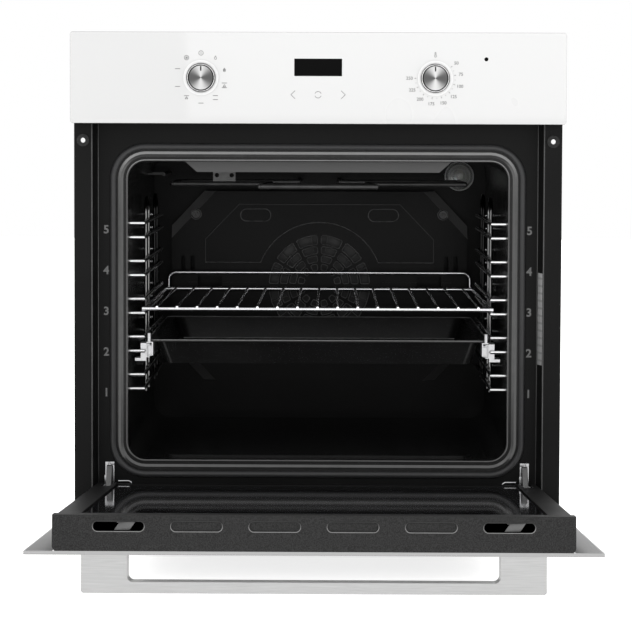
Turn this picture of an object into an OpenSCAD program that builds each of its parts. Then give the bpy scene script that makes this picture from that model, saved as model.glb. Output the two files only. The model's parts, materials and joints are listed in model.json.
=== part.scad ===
// Built-in wall oven: steel cavity in a sheet casing, drop-down glazed door, glass control panel,
// fan cooking, telescopic tray runners.  The door is drawn open, the shelf and the tray pushed in.
// +X is the user's right, the front faces -Y, +Z is up, and Z = 0 is the underside of the base.

/* [Overall] */
// Width of the control panel, the widest piece
panel_w = 595; // [560:1:720]
// Height from the base to the top of the control panel
oven_h = 595; // [570:1:720]
// Depth from the front frame's cabinet flange to the back of the terminal box
body_depth = 545; // [520:1:660]
// How far the panel and the closed door stand in front of the cabinet flange
front_stand = 22; // [20:1:30]

/* [Sheet metal] */
// Thickness of the cavity, frame and fan cover sheet
sheet_t = 1.2; // [0.8:0.1:2]
// Thickness of the casing sheet
casing_t = 1; // [0.6:0.1:1.5]
// Depth of the pressed recess that the door's inner frame closes into
recess_d = 20; // [18:1:26]
// Width of the flange that covers the cabinet's edge
flange_w = 21.5; // [18:0.5:26]
// Sideways run of the recess's sloping wall
recess_run = 5.5; // [3:0.5:8]

/* [Cavity] */
// Frame height below the cavity opening
band_bottom = 73; // [70:1:90]
// Frame height between the cavity opening and the control panel
band_top = 46; // [40:1:60]
// Frame width between the cavity opening and the recess's sloping wall
band_side = 41.5; // [40:0.5:60]
// Depth behind the cavity for its blanket, the fan motor and the lamp holder
service_d = 88; // [80:1:120]
// Corner radius of the cavity
cavity_r = 22; // [15:1:35]
// Width of the enamelled rim around the opening
rim_w = 13.3; // [10:0.1:15]
// Radius of the tubular door seal
seal_r = 4; // [3:0.5:5]
// Thickness of the insulation blanket
blanket_t = 18; // [12:1:25]
// Air gap under the cavity floor for the lower heating element
floor_gap = 18; // [15:1:25]

/* [Control panel] */
// Height of the control panel
panel_h = 109; // [100:1:140]
// Thickness of the panel and door glass
glass_t = 4; // [3:0.5:5]
// Distance of each knob from the centre line
knob_x = 140.5; // [100:0.5:180]
// Height of the knobs above the panel's lower edge
knob_rise = 54.5; // [45:0.5:70]
// Radius of the knob's brushed face
knob_r = 15.2; // [12:0.1:20]
// Width of the chrome skirt showing around the knob's face
skirt_w = 2.4; // [1.5:0.1:4]
// Width of the bezel ring around the skirt
bezel_w = 3.6; // [2.5:0.1:6]
// Radius of the control spindles
spindle_r = 3; // [2.5:0.1:4]
// How far a knob springs out when it is released
knob_travel = 12; // [8:1:13]
// Width of the display window
display_w = 57; // [40:1:80]
// Height of the display window
display_h = 20; // [15:1:30]

/* [Door] */
// Angle of the open door, from closed
door_open = 85.5; // [80:0.5:90]
// Height of the hinge pins above the base
hinge_z = 29.7; // [28:0.1:34]
// Distance of the hinge pins in front of the recessed frame face
hinge_fwd = 21.7; // [20:0.1:24]
// Distance of the hinges from the centre line's side of the recess wall
hinge_inset = 19.6; // [18:0.1:24]
// Height of the door's lower edge above the base
door_lift = 9; // [8.5:0.5:16]
// Gap between the door's top edge and the control panel
door_gap = 4; // [3:0.5:6]
// Width of the side rails of the door's inner frame
rail_w = 24; // [22:1:30]
// Height of the vented trim along the door's top edge
trim_h = 20; // [16:1:28]
// Length of a vent slot in the door's trim
vent_w = 53; // [40:1:60]
// Height of a vent slot in the door's trim
vent_h = 10.7; // [6:0.1:14]
// Spacing of the vent slots
vent_pitch = 79.7; // [65:0.1:90]
// How far the slots sit from the trim's middle, towards the inner pane
vent_off = 6.8; // [0:0.1:8]
// Length of the handle
handle_w = 475; // [380:1:520]
// How far the handle stands off the glass
handle_out = 39; // [35:1:55]
// Thickness of the handle's grip bar
grip_t = 11.5; // [10:0.5:18]
// Width of each handle leg
leg_w = 47; // [30:1:60]
// Height of the handle on the closed door
handle_h = 24; // [18:1:30]

/* [Racks and shelf] */
// Number of shelf levels
levels = 5; // [3:1:5]
// Height of the lowest rail above the cavity floor
level_base = 86; // [60:1:110]
// Spacing of the levels
level_pitch = 46.7; // [42:0.1:60]
// Height between the two rails of a level
level_gap = 17.5; // [16:0.5:20]
// Radius of the rack rails
rail_r = 2.25; // [1.5:0.25:3]
// Gap between the racks and the cavity's back wall
rack_gap = 105; // [60:1:140]
// Distance of the rails from the cavity wall
rail_off = 18.5; // [16:0.5:22]
// Radius of the shelf's outer bars
bar_r = 2.75; // [2:0.25:3.5]
// Radius of the shelf's cross wires
wire_r = 1.6; // [1:0.1:2]
// Number of cross wires
wires = 17; // [9:2:21]
// Gap between a side bar and the nearest cross wire
wire_margin = 15.6; // [8:0.1:30]
// Height of the guard wire above the shelf's rear bar
guard_h = 20; // [12:1:30]
// Depth of the tray
tray_h = 30; // [20:1:40]
// Width of the tray's rim
tray_rim = 11; // [9:1:14]

/* [Fan and heaters] */
// Gap between the fan cover and the cavity's side walls
cover_gap = 26.5; // [22:0.5:45]
// Height of the fan cover's lower edge above the cavity floor
cover_z0 = 56; // [40:1:70]
// Gap between the fan cover and the cavity's roof, where the lamp sits
cover_clear = 47; // [47:1:80]
// Depth of the fan cover in front of the cavity's back wall
cover_d = 27; // [24:1:34]
// Radius of the convection fan
fan_r = 74; // [60:1:80]
// Radius of the ring heater
ring_r = 95; // [88:1:105]
// Radius of the heating elements' tube
heater_r = 3.2; // [2.5:0.1:4]
// Radius of the cooling fan's wheel
blower_r = 62; // [45:1:70]

/* [Hidden] */
$fn = 64;
eps = 0.01;
slack = 0.3;         // room between neighbouring pieces
run_fit = 0.05;      // radial room of a shaft in its bearing

// Depth stations, from the front to the back
flange_y = -body_depth / 2;              // front face of the cabinet flange
panel_y = flange_y - front_stand;        // front face of the panel and the closed door
frame_y = flange_y + recess_d;           // recessed face of the front frame
rear_y = body_depth / 2;
terminal_d = 22;                         // depth of the terminal box behind the rear panel
rear_panel_y = rear_y - terminal_d;
back_y = rear_panel_y - service_d;       // inner face of the cavity's back wall
cavity_d = back_y - frame_y;

// Heights
panel_z = oven_h - panel_h;
body_h = oven_h - 20;                    // the casing passes under the niche's top
cavity_z0 = band_bottom;
cavity_z1 = panel_z - band_top;
knob_z = panel_z + knob_rise;
duct_z0 = panel_z + 3;
duct_h = 20;

// Widths, all half widths
panel_half = panel_w / 2;
flange_out = panel_half - 2;
recess_x = flange_out - flange_w;        // top of the recess's sloping wall
plate_x = recess_x - recess_run;         // foot of the sloping wall
casing_x = plate_x + sheet_t + slack;
cavity_x = recess_x - band_side;
rim_x = cavity_x + rim_w;
seal_fit = 0.2;                          // room on each side of the seal in its channel
seal_x = rim_x + seal_r + seal_fit;      // centre line of the seal
seal_bend = cavity_r + rim_w + seal_r + seal_fit;
seal_proud = 3.6;                        // how far the seal stands out of the frame
seal_gap = 0.4;                          // left to the closed door
window_w = 2 * (seal_r + seal_fit);      // width of the channel in the frame's opening
window_x = rim_x + window_w;
lap = 1.2;                               // the channel's lap behind the frame
screw_x = (flange_out + recess_x) / 2;   // cabinet screws, mid flange
screw_z = panel_z - 21;
screw_r = 3;

// Control panel
knob_skirt_r = knob_r + skirt_w;
bezel_r = knob_skirt_r + bezel_w;
bezel_hole_r = bezel_r - 1.2;
display_z = panel_z + 58;
indicator_x = knob_x + 61;
indicator_z = knob_z + 23;

// Door, in its closed position
door_half = panel_half - 1;
door_z1 = panel_z - door_gap;
inner_half = recess_x - 7;
inner_z0 = hinge_z - 9.7;                // keeps the inner frame's corner clear as it swings
rail_face_y = frame_y - seal_proud - seal_gap;
glass_half = inner_half - rail_w - 0.4;
trim_z0 = door_z1 - trim_h;
pin_y = frame_y - hinge_fwd;
hinge_x = recess_x - hinge_inset;
arm_t = 6;
cheek_t = 1.7;
pin_r = 3;
arm_z0 = hinge_z + 19;
arm_z1 = hinge_z + 36;
rail_t = 1.5;

// Racks, runners and shelf
rail_x = cavity_x - rail_off;
rack_y0 = frame_y + 15;
rack_y1 = back_y - rack_gap;
load_y1 = back_y - cover_d - 15;         // how far back the runners and the shelf reach
upright_x = rail_x + 2 * rail_r + 0.05;
function level_z(n) = cavity_z0 + level_base + (n - 1) * level_pitch;
tray_level = 2;
shelf_level = 3;
shelf_x = upright_x - rail_r - slack;
shelf_z = level_z(shelf_level) + rail_r + slack + bar_r;
shelf_y0 = rack_y0 + 1;
shelf_y1 = load_y1 + 2;
wire_pitch = 2 * (shelf_x - bar_r - wire_margin) / (wires - 1);
runner_x = rail_x - rail_r - 0.25;       // back of the fixed runner rail
runner_z = level_z(tray_level);
runner_y0 = rack_y0 + 2;
runner_y1 = load_y1 - 4;
tray_x = runner_x + 0.5;
tray_z1 = runner_z + 13.4;
well_x = tray_x - tray_rim;

// Fan cover
cover_y = back_y - cover_d;
cover_x = cavity_x - cover_gap;
cover_b = cavity_z0 + cover_z0;
cover_t = cavity_z1 - cover_clear;
fan_z = (cover_b + cover_t) / 2 + 1;
corner_w = 45;                           // width and height of the cover's cut corners
corner_h = 48;
cover_screw_x = cover_x - 34;
cover_screw_z = cover_t - 32;
lamp_x = cavity_x - 37;
lamp_z = cavity_z1 - 25.5;
lamp_r = 21;
grill_drop = 32;                         // from the roof down to the upper element
lip_drop = 13.5;                         // how far the roof's front lip hangs down
lip_end = 68;                            // from the cavity's wall to the end of the lip
tail_a = 18;                             // angle of the ring heater's tails from straight down
tail_x = ring_r * sin(tail_a);
tail_z = fan_z - ring_r * cos(tail_a);

// ---- shared shapes ----

// A flat x-z outline given depth, from y0 backwards
module slab(y0, d) {
    translate([0, y0 + d, 0]) rotate([90, 0, 0]) linear_extrude(d) children();
}

module rrect(x0, x1, z0, z1, r) {
    translate([x0 + r, z0]) square([x1 - x0 - 2 * r, z1 - z0]);
    translate([x0, z0 + r]) square([x1 - x0, z1 - z0 - 2 * r]);
    for (x = [x0 + r, x1 - r], z = [z0 + r, z1 - r]) translate([x, z]) circle(r);
}

module ring2d(x, z0, z1, r, w) {
    difference() {
        rrect(-x, x, z0, z1, r);
        rrect(w - x, x - w, z0 + w, z1 - w, max(r - w, 0.5));
    }
}

module block(x0, x1, y0, y1, z0, z1) {
    translate([x0, y0, z0]) cube([x1 - x0, y1 - y0, z1 - z0]);
}

module rod(p, q, r) {
    v = q - p;
    l = norm(v);
    translate(p) rotate([0, acos(v[2] / l), atan2(v[1], v[0])]) cylinder(h = l, r = r);
}

// A bent rod through a list of points
module bent_rod(pts, r, joint = 0) {
    for (i = [0 : len(pts) - 2]) rod(pts[i], pts[i + 1], r);
    for (i = [1 : 1 : len(pts) - 2]) translate(pts[i]) sphere(r + joint);
}

module y_cyl(x, y0, z, h, r) { translate([x, y0 + h, z]) rotate([90, 0, 0]) cylinder(h = h, r = r); }

module x_cyl(x0, y, z, h, r) { translate([x0, y, z]) rotate([0, 90, 0]) cylinder(h = h, r = r); }

module both_sides() {
    children();
    mirror([1, 0, 0]) children();
}

// Turns the door and what it carries from closed to open
module opened() {
    translate([0, pin_y, hinge_z]) rotate([door_open, 0, 0]) translate([0, -pin_y, -hinge_z]) children();
}

// ---- front frame and cavity ----

// Outline of the frame's opening, with a margin around it
module window2d(m) {
    w = rim_w + window_w + m;
    rrect(-window_x - m, window_x + m, cavity_z0 - w, cavity_z1 + w, cavity_r + w);
}

// Pressed steel face: cabinet flanges, sloping recess walls and a recessed plate with the opening
module front_frame() {
    t = sheet_t;
    color([0.07, 0.07, 0.08]) difference() {
        union() {
            block(-plate_x, plate_x, frame_y, frame_y + t, 0, body_h);
            both_sides() translate([0, 0, hinge_z - 13.7]) linear_extrude(oven_h - 2 - hinge_z + 13.7)
                polygon([[plate_x - eps, frame_y], [recess_x, flange_y], [flange_out, flange_y],
                    [flange_out, flange_y + t], [recess_x + 0.8, flange_y + t],
                    [plate_x + t, frame_y + t], [plate_x - eps, frame_y + t]]);
        }
        slab(frame_y - 1, t + 2) window2d(0);
        both_sides() {
            block(hinge_x - 4, hinge_x + 4, frame_y - 1, frame_y + t + 1, arm_z0 - 2, arm_z1 + 2);
            y_cyl(screw_x, flange_y - 1, screw_z, t + 2, 5);
        }
        // cooling air leaves above the door, behind the control panel
        block(-150, 150, frame_y - 1, frame_y + t + 1, duct_z0 + 1, duct_z0 + duct_h - 1);
    }
}

module fixing_bushes() {
    color("dimgray") both_sides() difference() {
        union() {
            y_cyl(screw_x, flange_y - 1.5, screw_z, 1.5, 7.5);
            y_cyl(screw_x, flange_y - 1, screw_z, sheet_t + 4, 5);
        }
        y_cyl(screw_x, flange_y - 3, screw_z, sheet_t + 10, screw_r);
    }
}

// Enamelled wrap: walls, roof and floor in one, with the rim and the channel that the seal sits in
module cavity_wrap() {
    t = sheet_t;
    seal_room = seal_r + seal_r - seal_proud + 0.3;
    color([0.13, 0.13, 0.14]) {
        slab(frame_y, cavity_d) ring2d(cavity_x + t, cavity_z0 - t, cavity_z1 + t, cavity_r + t, t);
        slab(frame_y, t) ring2d(rim_x, cavity_z0 - rim_w, cavity_z1 + rim_w, cavity_r + rim_w, rim_w);
        slab(frame_y, seal_room + t)
            ring2d(rim_x, cavity_z0 - rim_w, cavity_z1 + rim_w, cavity_r + rim_w, t);
        slab(frame_y + seal_room, t) difference() {
            window2d(lap);
            window2d(-window_w - t);
        }
        // raised middle of the floor
        translate([0, 0, cavity_z0 - t / 2]) linear_extrude(t / 2 + 2.5)
            rrect(-cavity_x + 42, cavity_x - 42, frame_y + 28, back_y - cover_d - 12, 18);
        // lowered lip of the roof that hides the upper element
        slab(frame_y + 12, 34) polygon([[-cavity_x + lip_end, cavity_z1 + t / 2],
            [cavity_x - lip_end, cavity_z1 + t / 2], [cavity_x - lip_end - 16, cavity_z1 - lip_drop],
            [lip_end + 16 - cavity_x, cavity_z1 - lip_drop]]);
    }
}

module cavity_back() {
    color([0.13, 0.13, 0.14]) difference() {
        slab(back_y, sheet_t) rrect(-cavity_x - sheet_t, cavity_x + sheet_t, cavity_z0 - sheet_t,
            cavity_z1 + sheet_t, cavity_r + sheet_t);
        y_cyl(0, back_y - 1, fan_z, 5, 6);
        y_cyl(lamp_x, back_y - 1, lamp_z, 5, lamp_r - 2);
        for (x = [-tail_x, tail_x]) y_cyl(x, back_y - 1, tail_z, 5, heater_r + slack);
        for (x = [-28, 28]) y_cyl(x, back_y - 1, cavity_z1 - grill_drop, 5, heater_r + slack);
    }
}

// Tubular seal around the opening
module door_gasket() {
    z0 = cavity_z0 - rim_w - seal_r - seal_fit;
    z1 = cavity_z1 + rim_w + seal_r + seal_fit;
    r = seal_bend;
    y = frame_y - seal_proud + seal_r;
    color("black") {
        for (x = [-seal_x, seal_x]) translate([x, y, z0 + r]) cylinder(h = z1 - z0 - 2 * r, r = seal_r);
        for (z = [z0, z1]) x_cyl(-seal_x + r, y, z, 2 * (seal_x - r), seal_r);
        for (c = [[seal_x - r, z1 - r, 0], [r - seal_x, z1 - r, 90], [r - seal_x, z0 + r, 180],
            [seal_x - r, z0 + r, 270]])
            translate([c[0], y, c[1]]) rotate([90, 0, 0]) rotate([0, 0, c[2]])
                rotate_extrude(angle = 90) translate([r, 0]) circle(seal_r);
    }
}

// ---- casing ----

module casing_side() {
    difference() {
        block(casing_x, casing_x + casing_t, frame_y + sheet_t, rear_panel_y, casing_t, body_h);
        for (i = [0 : 7]) block(casing_x - 1, casing_x + casing_t + 1, rear_panel_y - 90, rear_panel_y - 40,
            body_h - 40 - 9 * i, body_h - 36 - 9 * i);
    }
}

module side_panel_right() { color("silver") casing_side(); }

module side_panel_left() { color("silver") mirror([1, 0, 0]) casing_side(); }

module base_panel() {
    color("silver") difference() {
        block(-casing_x - casing_t, casing_x + casing_t, frame_y + sheet_t, rear_panel_y, 0, casing_t);
        for (x = [-4 : 4]) block(40 * x - 12, 40 * x + 12, rear_panel_y - 60, rear_panel_y - 54, -1, 2);
    }
}

module top_panel() {
    color("silver") difference() {
        block(-casing_x, casing_x, frame_y + sheet_t, rear_panel_y, body_h - casing_t, body_h);
        for (x = [-6 : 6]) block(30 * x - 4, 30 * x + 4, rear_panel_y - 90, rear_panel_y - 30, body_h - 3, body_h + 1);
    }
}

module rear_panel() {
    color("silver") difference() {
        block(-casing_x - casing_t, casing_x + casing_t, rear_panel_y, rear_panel_y + casing_t, 0, body_h);
        for (x = [-5 : 5], z = [0, 1]) block(30 * x - 3, 30 * x + 3, rear_panel_y - 1, rear_panel_y + 3,
            fan_z - 70 + 80 * z, fan_z - 20 + 80 * z);
        y_cyl(-casing_x + 65, rear_panel_y - 1, body_h - 60, 4, 9);
    }
}

// Mineral wool blanket around the cavity and behind its back wall
module insulation() {
    in_x = cavity_x + sheet_t + 1;
    in_z0 = cavity_z0 - floor_gap;
    in_z1 = cavity_z1 + sheet_t + 1;
    y0 = frame_y + 46;
    y1 = back_y + sheet_t + 1;
    color([0.85, 0.82, 0.6]) difference() {
        slab(y0, y1 - y0 + blanket_t)
            rrect(-in_x - blanket_t, in_x + blanket_t, in_z0 - blanket_t, in_z1 + blanket_t, 25);
        slab(y0 - 1, y1 - y0 + 1) rrect(-in_x, in_x, in_z0, in_z1, 12);
        y_cyl(0, y1 - 1, fan_z, blanket_t + 2, 42);
        y_cyl(lamp_x, y1 - 1, lamp_z, blanket_t + 2, lamp_r + 8);
        for (x = [-tail_x, tail_x]) y_cyl(x, y1 - 1, tail_z, blanket_t + 2, 8);
        for (x = [-28, 28]) {
            y_cyl(x, y1 - 1, cavity_z1 - grill_drop, blanket_t + 2, 8);
            y_cyl(x, y1 - 1, cavity_z0 - floor_gap / 2, blanket_t + 2, 8);
        }
    }
}

// ---- control panel ----

module control_panel_glass() {
    color([0.93, 0.93, 0.93]) difference() {
        slab(panel_y, glass_t) rrect(-panel_half, panel_half, panel_z, oven_h, 1.5);
        for (x = [-knob_x, knob_x]) y_cyl(x, panel_y - 1, knob_z, glass_t + 2, bezel_hole_r);
    }
}

// Moulded carrier behind the panel glass, open at the back
module control_panel_frame() {
    w = 2;
    y0 = panel_y + glass_t;
    color([0.1, 0.1, 0.1]) difference() {
        block(-flange_out, flange_out, y0, flange_y, panel_z + 1, oven_h - 1);
        block(w - flange_out, flange_out - w, y0 + w, flange_y + 1, panel_z + 1 + w, oven_h - 1 - w);
        for (x = [-knob_x, knob_x]) y_cyl(x, y0 - 1, knob_z, w + 2, bezel_hole_r);
        block(-display_w / 2 - 0.5, display_w / 2 + 0.5, y0 - 1, y0 + w + 1, display_z - 0.5,
            display_z + display_h + 0.5);
        y_cyl(indicator_x, y0 - 1, indicator_z, w + 2, 2.6);
    }
}

// Display window with its circuit board, and the touch keys' board in the same carrier
module display_module() {
    y0 = panel_y + glass_t + eps;
    color([0.02, 0.02, 0.03]) block(-display_w / 2, display_w / 2, y0, y0 + 6, display_z, display_z + display_h);
    color("darkgreen") block(-display_w / 2 - 12, display_w / 2 + 12, y0 + 6, y0 + 7.6, panel_z + 12,
        display_z + display_h + 8);
}

module indicator_lamp() {
    color("darkred") y_cyl(indicator_x, panel_y + glass_t + eps, indicator_z, 10, 2.4);
}

module knob_bezels() {
    color([0.95, 0.95, 0.95]) for (x = [-knob_x, knob_x]) difference() {
        union() {
            y_cyl(x, panel_y - 1.6, knob_z, 1.6, bezel_r);
            y_cyl(x, panel_y - 1, knob_z, glass_t + 3, bezel_hole_r - 0.15);
        }
        y_cyl(x, panel_y - 3, knob_z, glass_t + 9, knob_skirt_r + slack);
    }
}

selector_y = panel_y + 15;

// Rotary switch or thermostat body; its bore is the spindle's bearing
module control_body(x, w) {
    difference() {
        union() {
            block(x - w / 2, x + w / 2, selector_y, frame_y - 2, knob_z - w / 2, knob_z + w / 2);
            block(x - w / 2 - 8, x + w / 2 + 8, selector_y, selector_y + 1.5, knob_z - 8, knob_z + 8);
        }
        y_cyl(x, selector_y - 1, knob_z, 16, spindle_r + run_fit);
    }
}

module function_selector() { color("ivory") control_body(-knob_x, 44); }

module thermostat() { color("lightgray") control_body(knob_x, 38); }

module spindle(x) {
    y0 = panel_y - 1.5;
    color("silver") difference() {
        y_cyl(x, y0, knob_z, selector_y - y0 + 14, spindle_r);
        // flat that drives the knob
        block(x - spindle_r, x + spindle_r, y0 - 1, selector_y - 0.5, knob_z + spindle_r - 1, knob_z + 2 * spindle_r);
    }
}

module function_spindle() { spindle(-knob_x); }

module temperature_spindle() { spindle(knob_x); }

// Push-in knob: brushed face, chrome skirt and a blind bore with a flat
module knob(x) {
    y0 = panel_y - 5;
    color([0.7, 0.7, 0.72]) difference() {
        union() {
            y_cyl(x, y0, knob_z, 3.5, knob_r);
            y_cyl(x, y0 + 1.5, knob_z, 17, knob_skirt_r);
        }
        difference() {
            y_cyl(x, panel_y - 2, knob_z, 40, spindle_r + run_fit);
            block(x - 6, x + 6, panel_y - 3, panel_y + 40, knob_z + spindle_r - 1 + run_fit, knob_z + 8);
        }
    }
}

module function_knob() { knob(-knob_x); }

module temperature_knob() { knob(knob_x); }

// Capillary sensor along the upper left wall, held by its saddle
module thermostat_probe() {
    x = -cavity_x + 22;
    z = cavity_z1 - 22;
    color("silver") {
        rod([x, back_y - 120, z], [x, back_y - slack, z], 2.4);
        for (y = [back_y - 110, back_y - 30]) difference() {
            block(x - 22 + slack, x + 1, y, y + 6, z - 1, z + 1);
            rod([x, y - 1, z], [x, y + 8, z], 2.4 - eps);
        }
    }
}

// ---- fan, heaters and lamp ----

// Outline of the fan cover, its corners cut off
module cover2d(inset) {
    x = cover_x - inset;
    z0 = cover_b + inset;
    z1 = cover_t - inset;
    polygon([[corner_w - x, z0], [x - corner_w, z0], [x, z0 + corner_h], [x, z1 - corner_h],
        [x - corner_w, z1], [corner_w - x, z1], [-x, z1 - corner_h], [-x, z0 + corner_h]]);
}

// Wedge that slopes the cover's face back towards a cut corner
module corner_slope(sx, sz, inset) {
    z = sz > 0 ? cover_t - corner_h / 2 : cover_b + corner_h / 2;
    translate([sx * (cover_x - corner_w / 2), cover_y + inset, z])
        rotate([0, -atan2(sz * corner_w, sx * corner_h), 0])
            translate([-12, 0, 0]) rotate([0, 0, 22]) translate([0, -20, -60]) cube([40, 20, 120]);
}

module cover_block(inset) {
    difference() {
        slab(cover_y + inset, cover_d - inset + (inset > 0 ? 1 : 0)) cover2d(inset);
        for (sx = [-1, 1], sz = [-1, 1]) corner_slope(sx, sz, inset);
    }
}

// Rings of intake slots, crossed by narrow bars
module intake_grille() {
    difference() {
        for (r = [[57.5, 70], [44.5, 54.5], [33, 41.5], [21.5, 30]]) difference() {
            circle(r[1]);
            circle(r[0]);
        }
        for (a = [0 : 30 : 150]) rotate(a) translate([-80, -2.6]) square([160, 5.2]);
    }
}

module oblong(w, h) {
    translate([-w / 2 + h / 2, -h / 2]) square([w - h, h]);
    for (s = [-1, 1]) translate([s * (w - h) / 2, 0]) circle(h / 2);
}

module fan_cover() {
    y = cover_y - 3;
    dish_r = 184;
    boss_x = cover_x - 47;
    color([0.06, 0.06, 0.07]) difference() {
        union() {
            cover_block(0);
            // shallow round dish, then the pressed boss around the intake
            slab(cover_y - 1, 2) intersection() {
                translate([0, fan_z]) circle(dish_r);
                translate([4 - cover_x, cover_b + 4]) square([2 * cover_x - 8, fan_z - cover_b]);
            }
            y_cyl(0, cover_y - 2, fan_z, 3, 88);
            slab(cover_y - 2, 3) polygon([[-86, fan_z + 32], [-boss_x, fan_z + 32], [-boss_x, fan_z + 64],
                [47 - boss_x, fan_z + 113], [boss_x - 47, fan_z + 113], [boss_x, fan_z + 64],
                [boss_x, fan_z + 32], [86, fan_z + 32]]);
        }
        difference() {
            cover_block(sheet_t);
            for (s = [-1, 1]) y_cyl(s * cover_screw_x, cover_y - 1, cover_screw_z, cover_d + 1, 7);
        }
        translate([0, 0, fan_z]) slab(cover_y - 3, 6) intake_grille();
        for (s = [-1, 1]) {
            translate([s * 89, 0, cover_t - 33]) slab(cover_y - 3, 2.2) oblong(42, 17);
            y_cyl(s * cover_screw_x, cover_y - 1, cover_screw_z, 2, 8.5);
            y_cyl(s * cover_screw_x, cover_y - 1, cover_screw_z, cover_d + 3, 2.2);
            for (x = [16, 29]) translate([s * (cover_x - x), 0, fan_z + 30]) slab(y, 6) rotate(90) oblong(22, 6);
            block(s * (cover_x - 53) - 17, s * (cover_x - 53) + 17, y, y + 6, fan_z - 2, fan_z + 12);
            for (z = [cover_b + corner_h + 8 : 22 : fan_z - 12])
                translate([s * (cover_x - 20), 0, z]) slab(y, 6) oblong(26, 8);
        }
        // return air leaves at the lower edge
        block(-110, 110, cover_y + sheet_t + 3, back_y - 3, cover_b - 1, cover_b + sheet_t + 1);
    }
}

module fan_cover_screws() {
    color("silver") for (s = [-1, 1]) {
        y_cyl(s * cover_screw_x, cover_y - 1.6, cover_screw_z, 2.55, 5.5);
        y_cyl(s * cover_screw_x, cover_y, cover_screw_z, cover_d - slack, 2.1);
    }
}

shaft_r = 4;

module convection_fan() {
    y0 = cover_y + sheet_t + 4;
    color("silver") {
        y_cyl(0, y0 + 13, fan_z, 1, fan_r);
        y_cyl(0, y0 + 2, fan_z, 12, 12);
        y_cyl(0, y0, fan_z, back_y + 40 - y0, shaft_r);
        for (a = [0 : 20 : 340]) translate([0, y0 + 13.5, fan_z]) rotate([90, 0, 0]) rotate(a)
            translate([fan_r - 26, -0.6, 0]) cube([25, 1.2, 13]);
    }
}

module fan_motor() {
    y0 = back_y + sheet_t;
    color("dimgray") difference() {
        union() {
            y_cyl(0, y0 + 2, fan_z, 52, 34);
            block(-40, 40, y0, y0 + 2, fan_z - 10, fan_z + 10);
            block(-26, 26, y0 + blanket_t + 4, y0 + blanket_t + 30, fan_z - 48, fan_z - 30);
        }
        y_cyl(0, y0 - 1, fan_z, 44, shaft_r + run_fit);
    }
}

// Ring element around the fan with its two tails
module ring_heater() {
    y = back_y - 11;
    color("dimgray") {
        translate([0, y, fan_z]) rotate([90, 0, 0]) rotate_extrude() translate([ring_r, 0]) circle(heater_r);
        for (s = [-1, 1]) y_cyl(s * tail_x, y, tail_z, 41, heater_r - 0.4);
    }
}

// Upper element, a meander under the roof
module grill_element() {
    z = cavity_z1 - grill_drop;
    back = cavity_d - 97;
    half = [[28, cavity_d + 30], [28, back], [cavity_x - 42, back], [cavity_x - 42, 187], [62, 187], [72, 52]];
    pts = concat([for (p = half) p], [for (i = [len(half) - 1 : -1 : 0]) [-half[i][0], half[i][1]]]);
    color([0.2, 0.2, 0.2]) bent_rod([for (p = pts) [p[0], frame_y + p[1], z]], heater_r, 0.2);
}

// Saddle that hangs the upper element from the roof
module grill_bracket() {
    x = -123;
    y = frame_y + 180;
    z = cavity_z1 - grill_drop + heater_r + 0.2;
    color("gainsboro") difference() {
        union() {
            block(x - 14.5, x + 14.5, y, y + 14, z + eps, z + 1.5);
            block(x - 14.5, x + 14.5, y, y + 1.5, z + eps, cavity_z1 - eps);
        }
        for (s = [-9.6, 9.6]) y_cyl(x + s, y - 1, z + 7.8, 4, 2.9);
    }
}

// Lower element under the cavity floor
module bottom_heater() {
    z = cavity_z0 - floor_gap / 2;
    x = cavity_x - 52;
    back = cavity_d - 85;
    color([0.2, 0.2, 0.2]) bent_rod([for (p = [[-28, cavity_d + 30], [-28, back], [-x, back], [-x, 70], [-60, 70],
        [-60, 250], [60, 250], [60, 70], [x, 70], [x, back], [28, back], [28, cavity_d + 30]])
        [p[0], frame_y + p[1], z]], heater_r);
}

module lamp_housing() {
    y0 = back_y + sheet_t;
    color("whitesmoke") difference() {
        union() {
            y_cyl(lamp_x, y0, lamp_z, 2, lamp_r + 6);
            y_cyl(lamp_x, y0, lamp_z, 50, lamp_r + 1);
        }
        y_cyl(lamp_x, y0 - 1, lamp_z, 45, lamp_r - 1);
    }
}

// Screw-in dome of pressed glass
module lamp_glass() {
    color([0.9, 0.9, 0.9]) translate([lamp_x, back_y, lamp_z]) rotate([90, 0, 0]) difference() {
        rotate_extrude() {
            square([lamp_r, 5]);
            intersection() {
                translate([0, -24]) circle(36);
                translate([0, 4.9]) square([lamp_r, 20]);
            }
            translate([0, -10]) square([lamp_r - 2.5, 11]);
        }
        rotate_extrude() {
            intersection() {
                translate([0, -27]) circle(36);
                translate([0, -1]) square([lamp_r - 5, 20]);
            }
            translate([0, -12]) square([lamp_r - 5, 11.5]);
        }
    }
}

module lamp_bulb() {
    color("ivory") translate([lamp_x, back_y, lamp_z]) {
        rotate([-90, 0, 0]) cylinder(h = 40, r = 9);
        translate([0, 0, 0]) sphere(8.9);
    }
}

// ---- racks, shelf, runners and tray ----

// One ladder of the side rack: welded rails and two hairpin uprights
module side_rack() {
    wall = cavity_x - 0.2;
    top = level_z(levels) + level_gap + 8;
    color("lightgray") {
        for (n = [1 : levels], g = [0, level_gap]) {
            z = level_z(n) + g;
            bent_rod([[wall, rack_y0, z], [rail_x, rack_y0, z], [rail_x, rack_y1, z], [wall, rack_y1, z]], rail_r);
        }
        for (y = [rack_y0 + 105, rack_y1 - 52]) {
            for (s = [-20, 20]) translate([upright_x, y + s, level_z(1) - 12])
                cylinder(h = top - level_z(1) + 12, r = rail_r);
            translate([upright_x, y, top]) rotate([0, -90, 0]) rotate([0, 0, -90])
                rotate_extrude(angle = 180) translate([20, 0]) circle(rail_r);
        }
    }
}

module side_rack_right() { side_rack(); }

module side_rack_left() { mirror([1, 0, 0]) side_rack(); }

// C profile with its mouth towards the centre; x is its back, and w its width
module channel(x, w, z0, z1, t, y0, y1) {
    block(x - t, x, y0, y1, z0, z1);
    for (z = [z0, z1 - t]) block(x - w, x, y0, y1, z, z + t);
}

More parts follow.
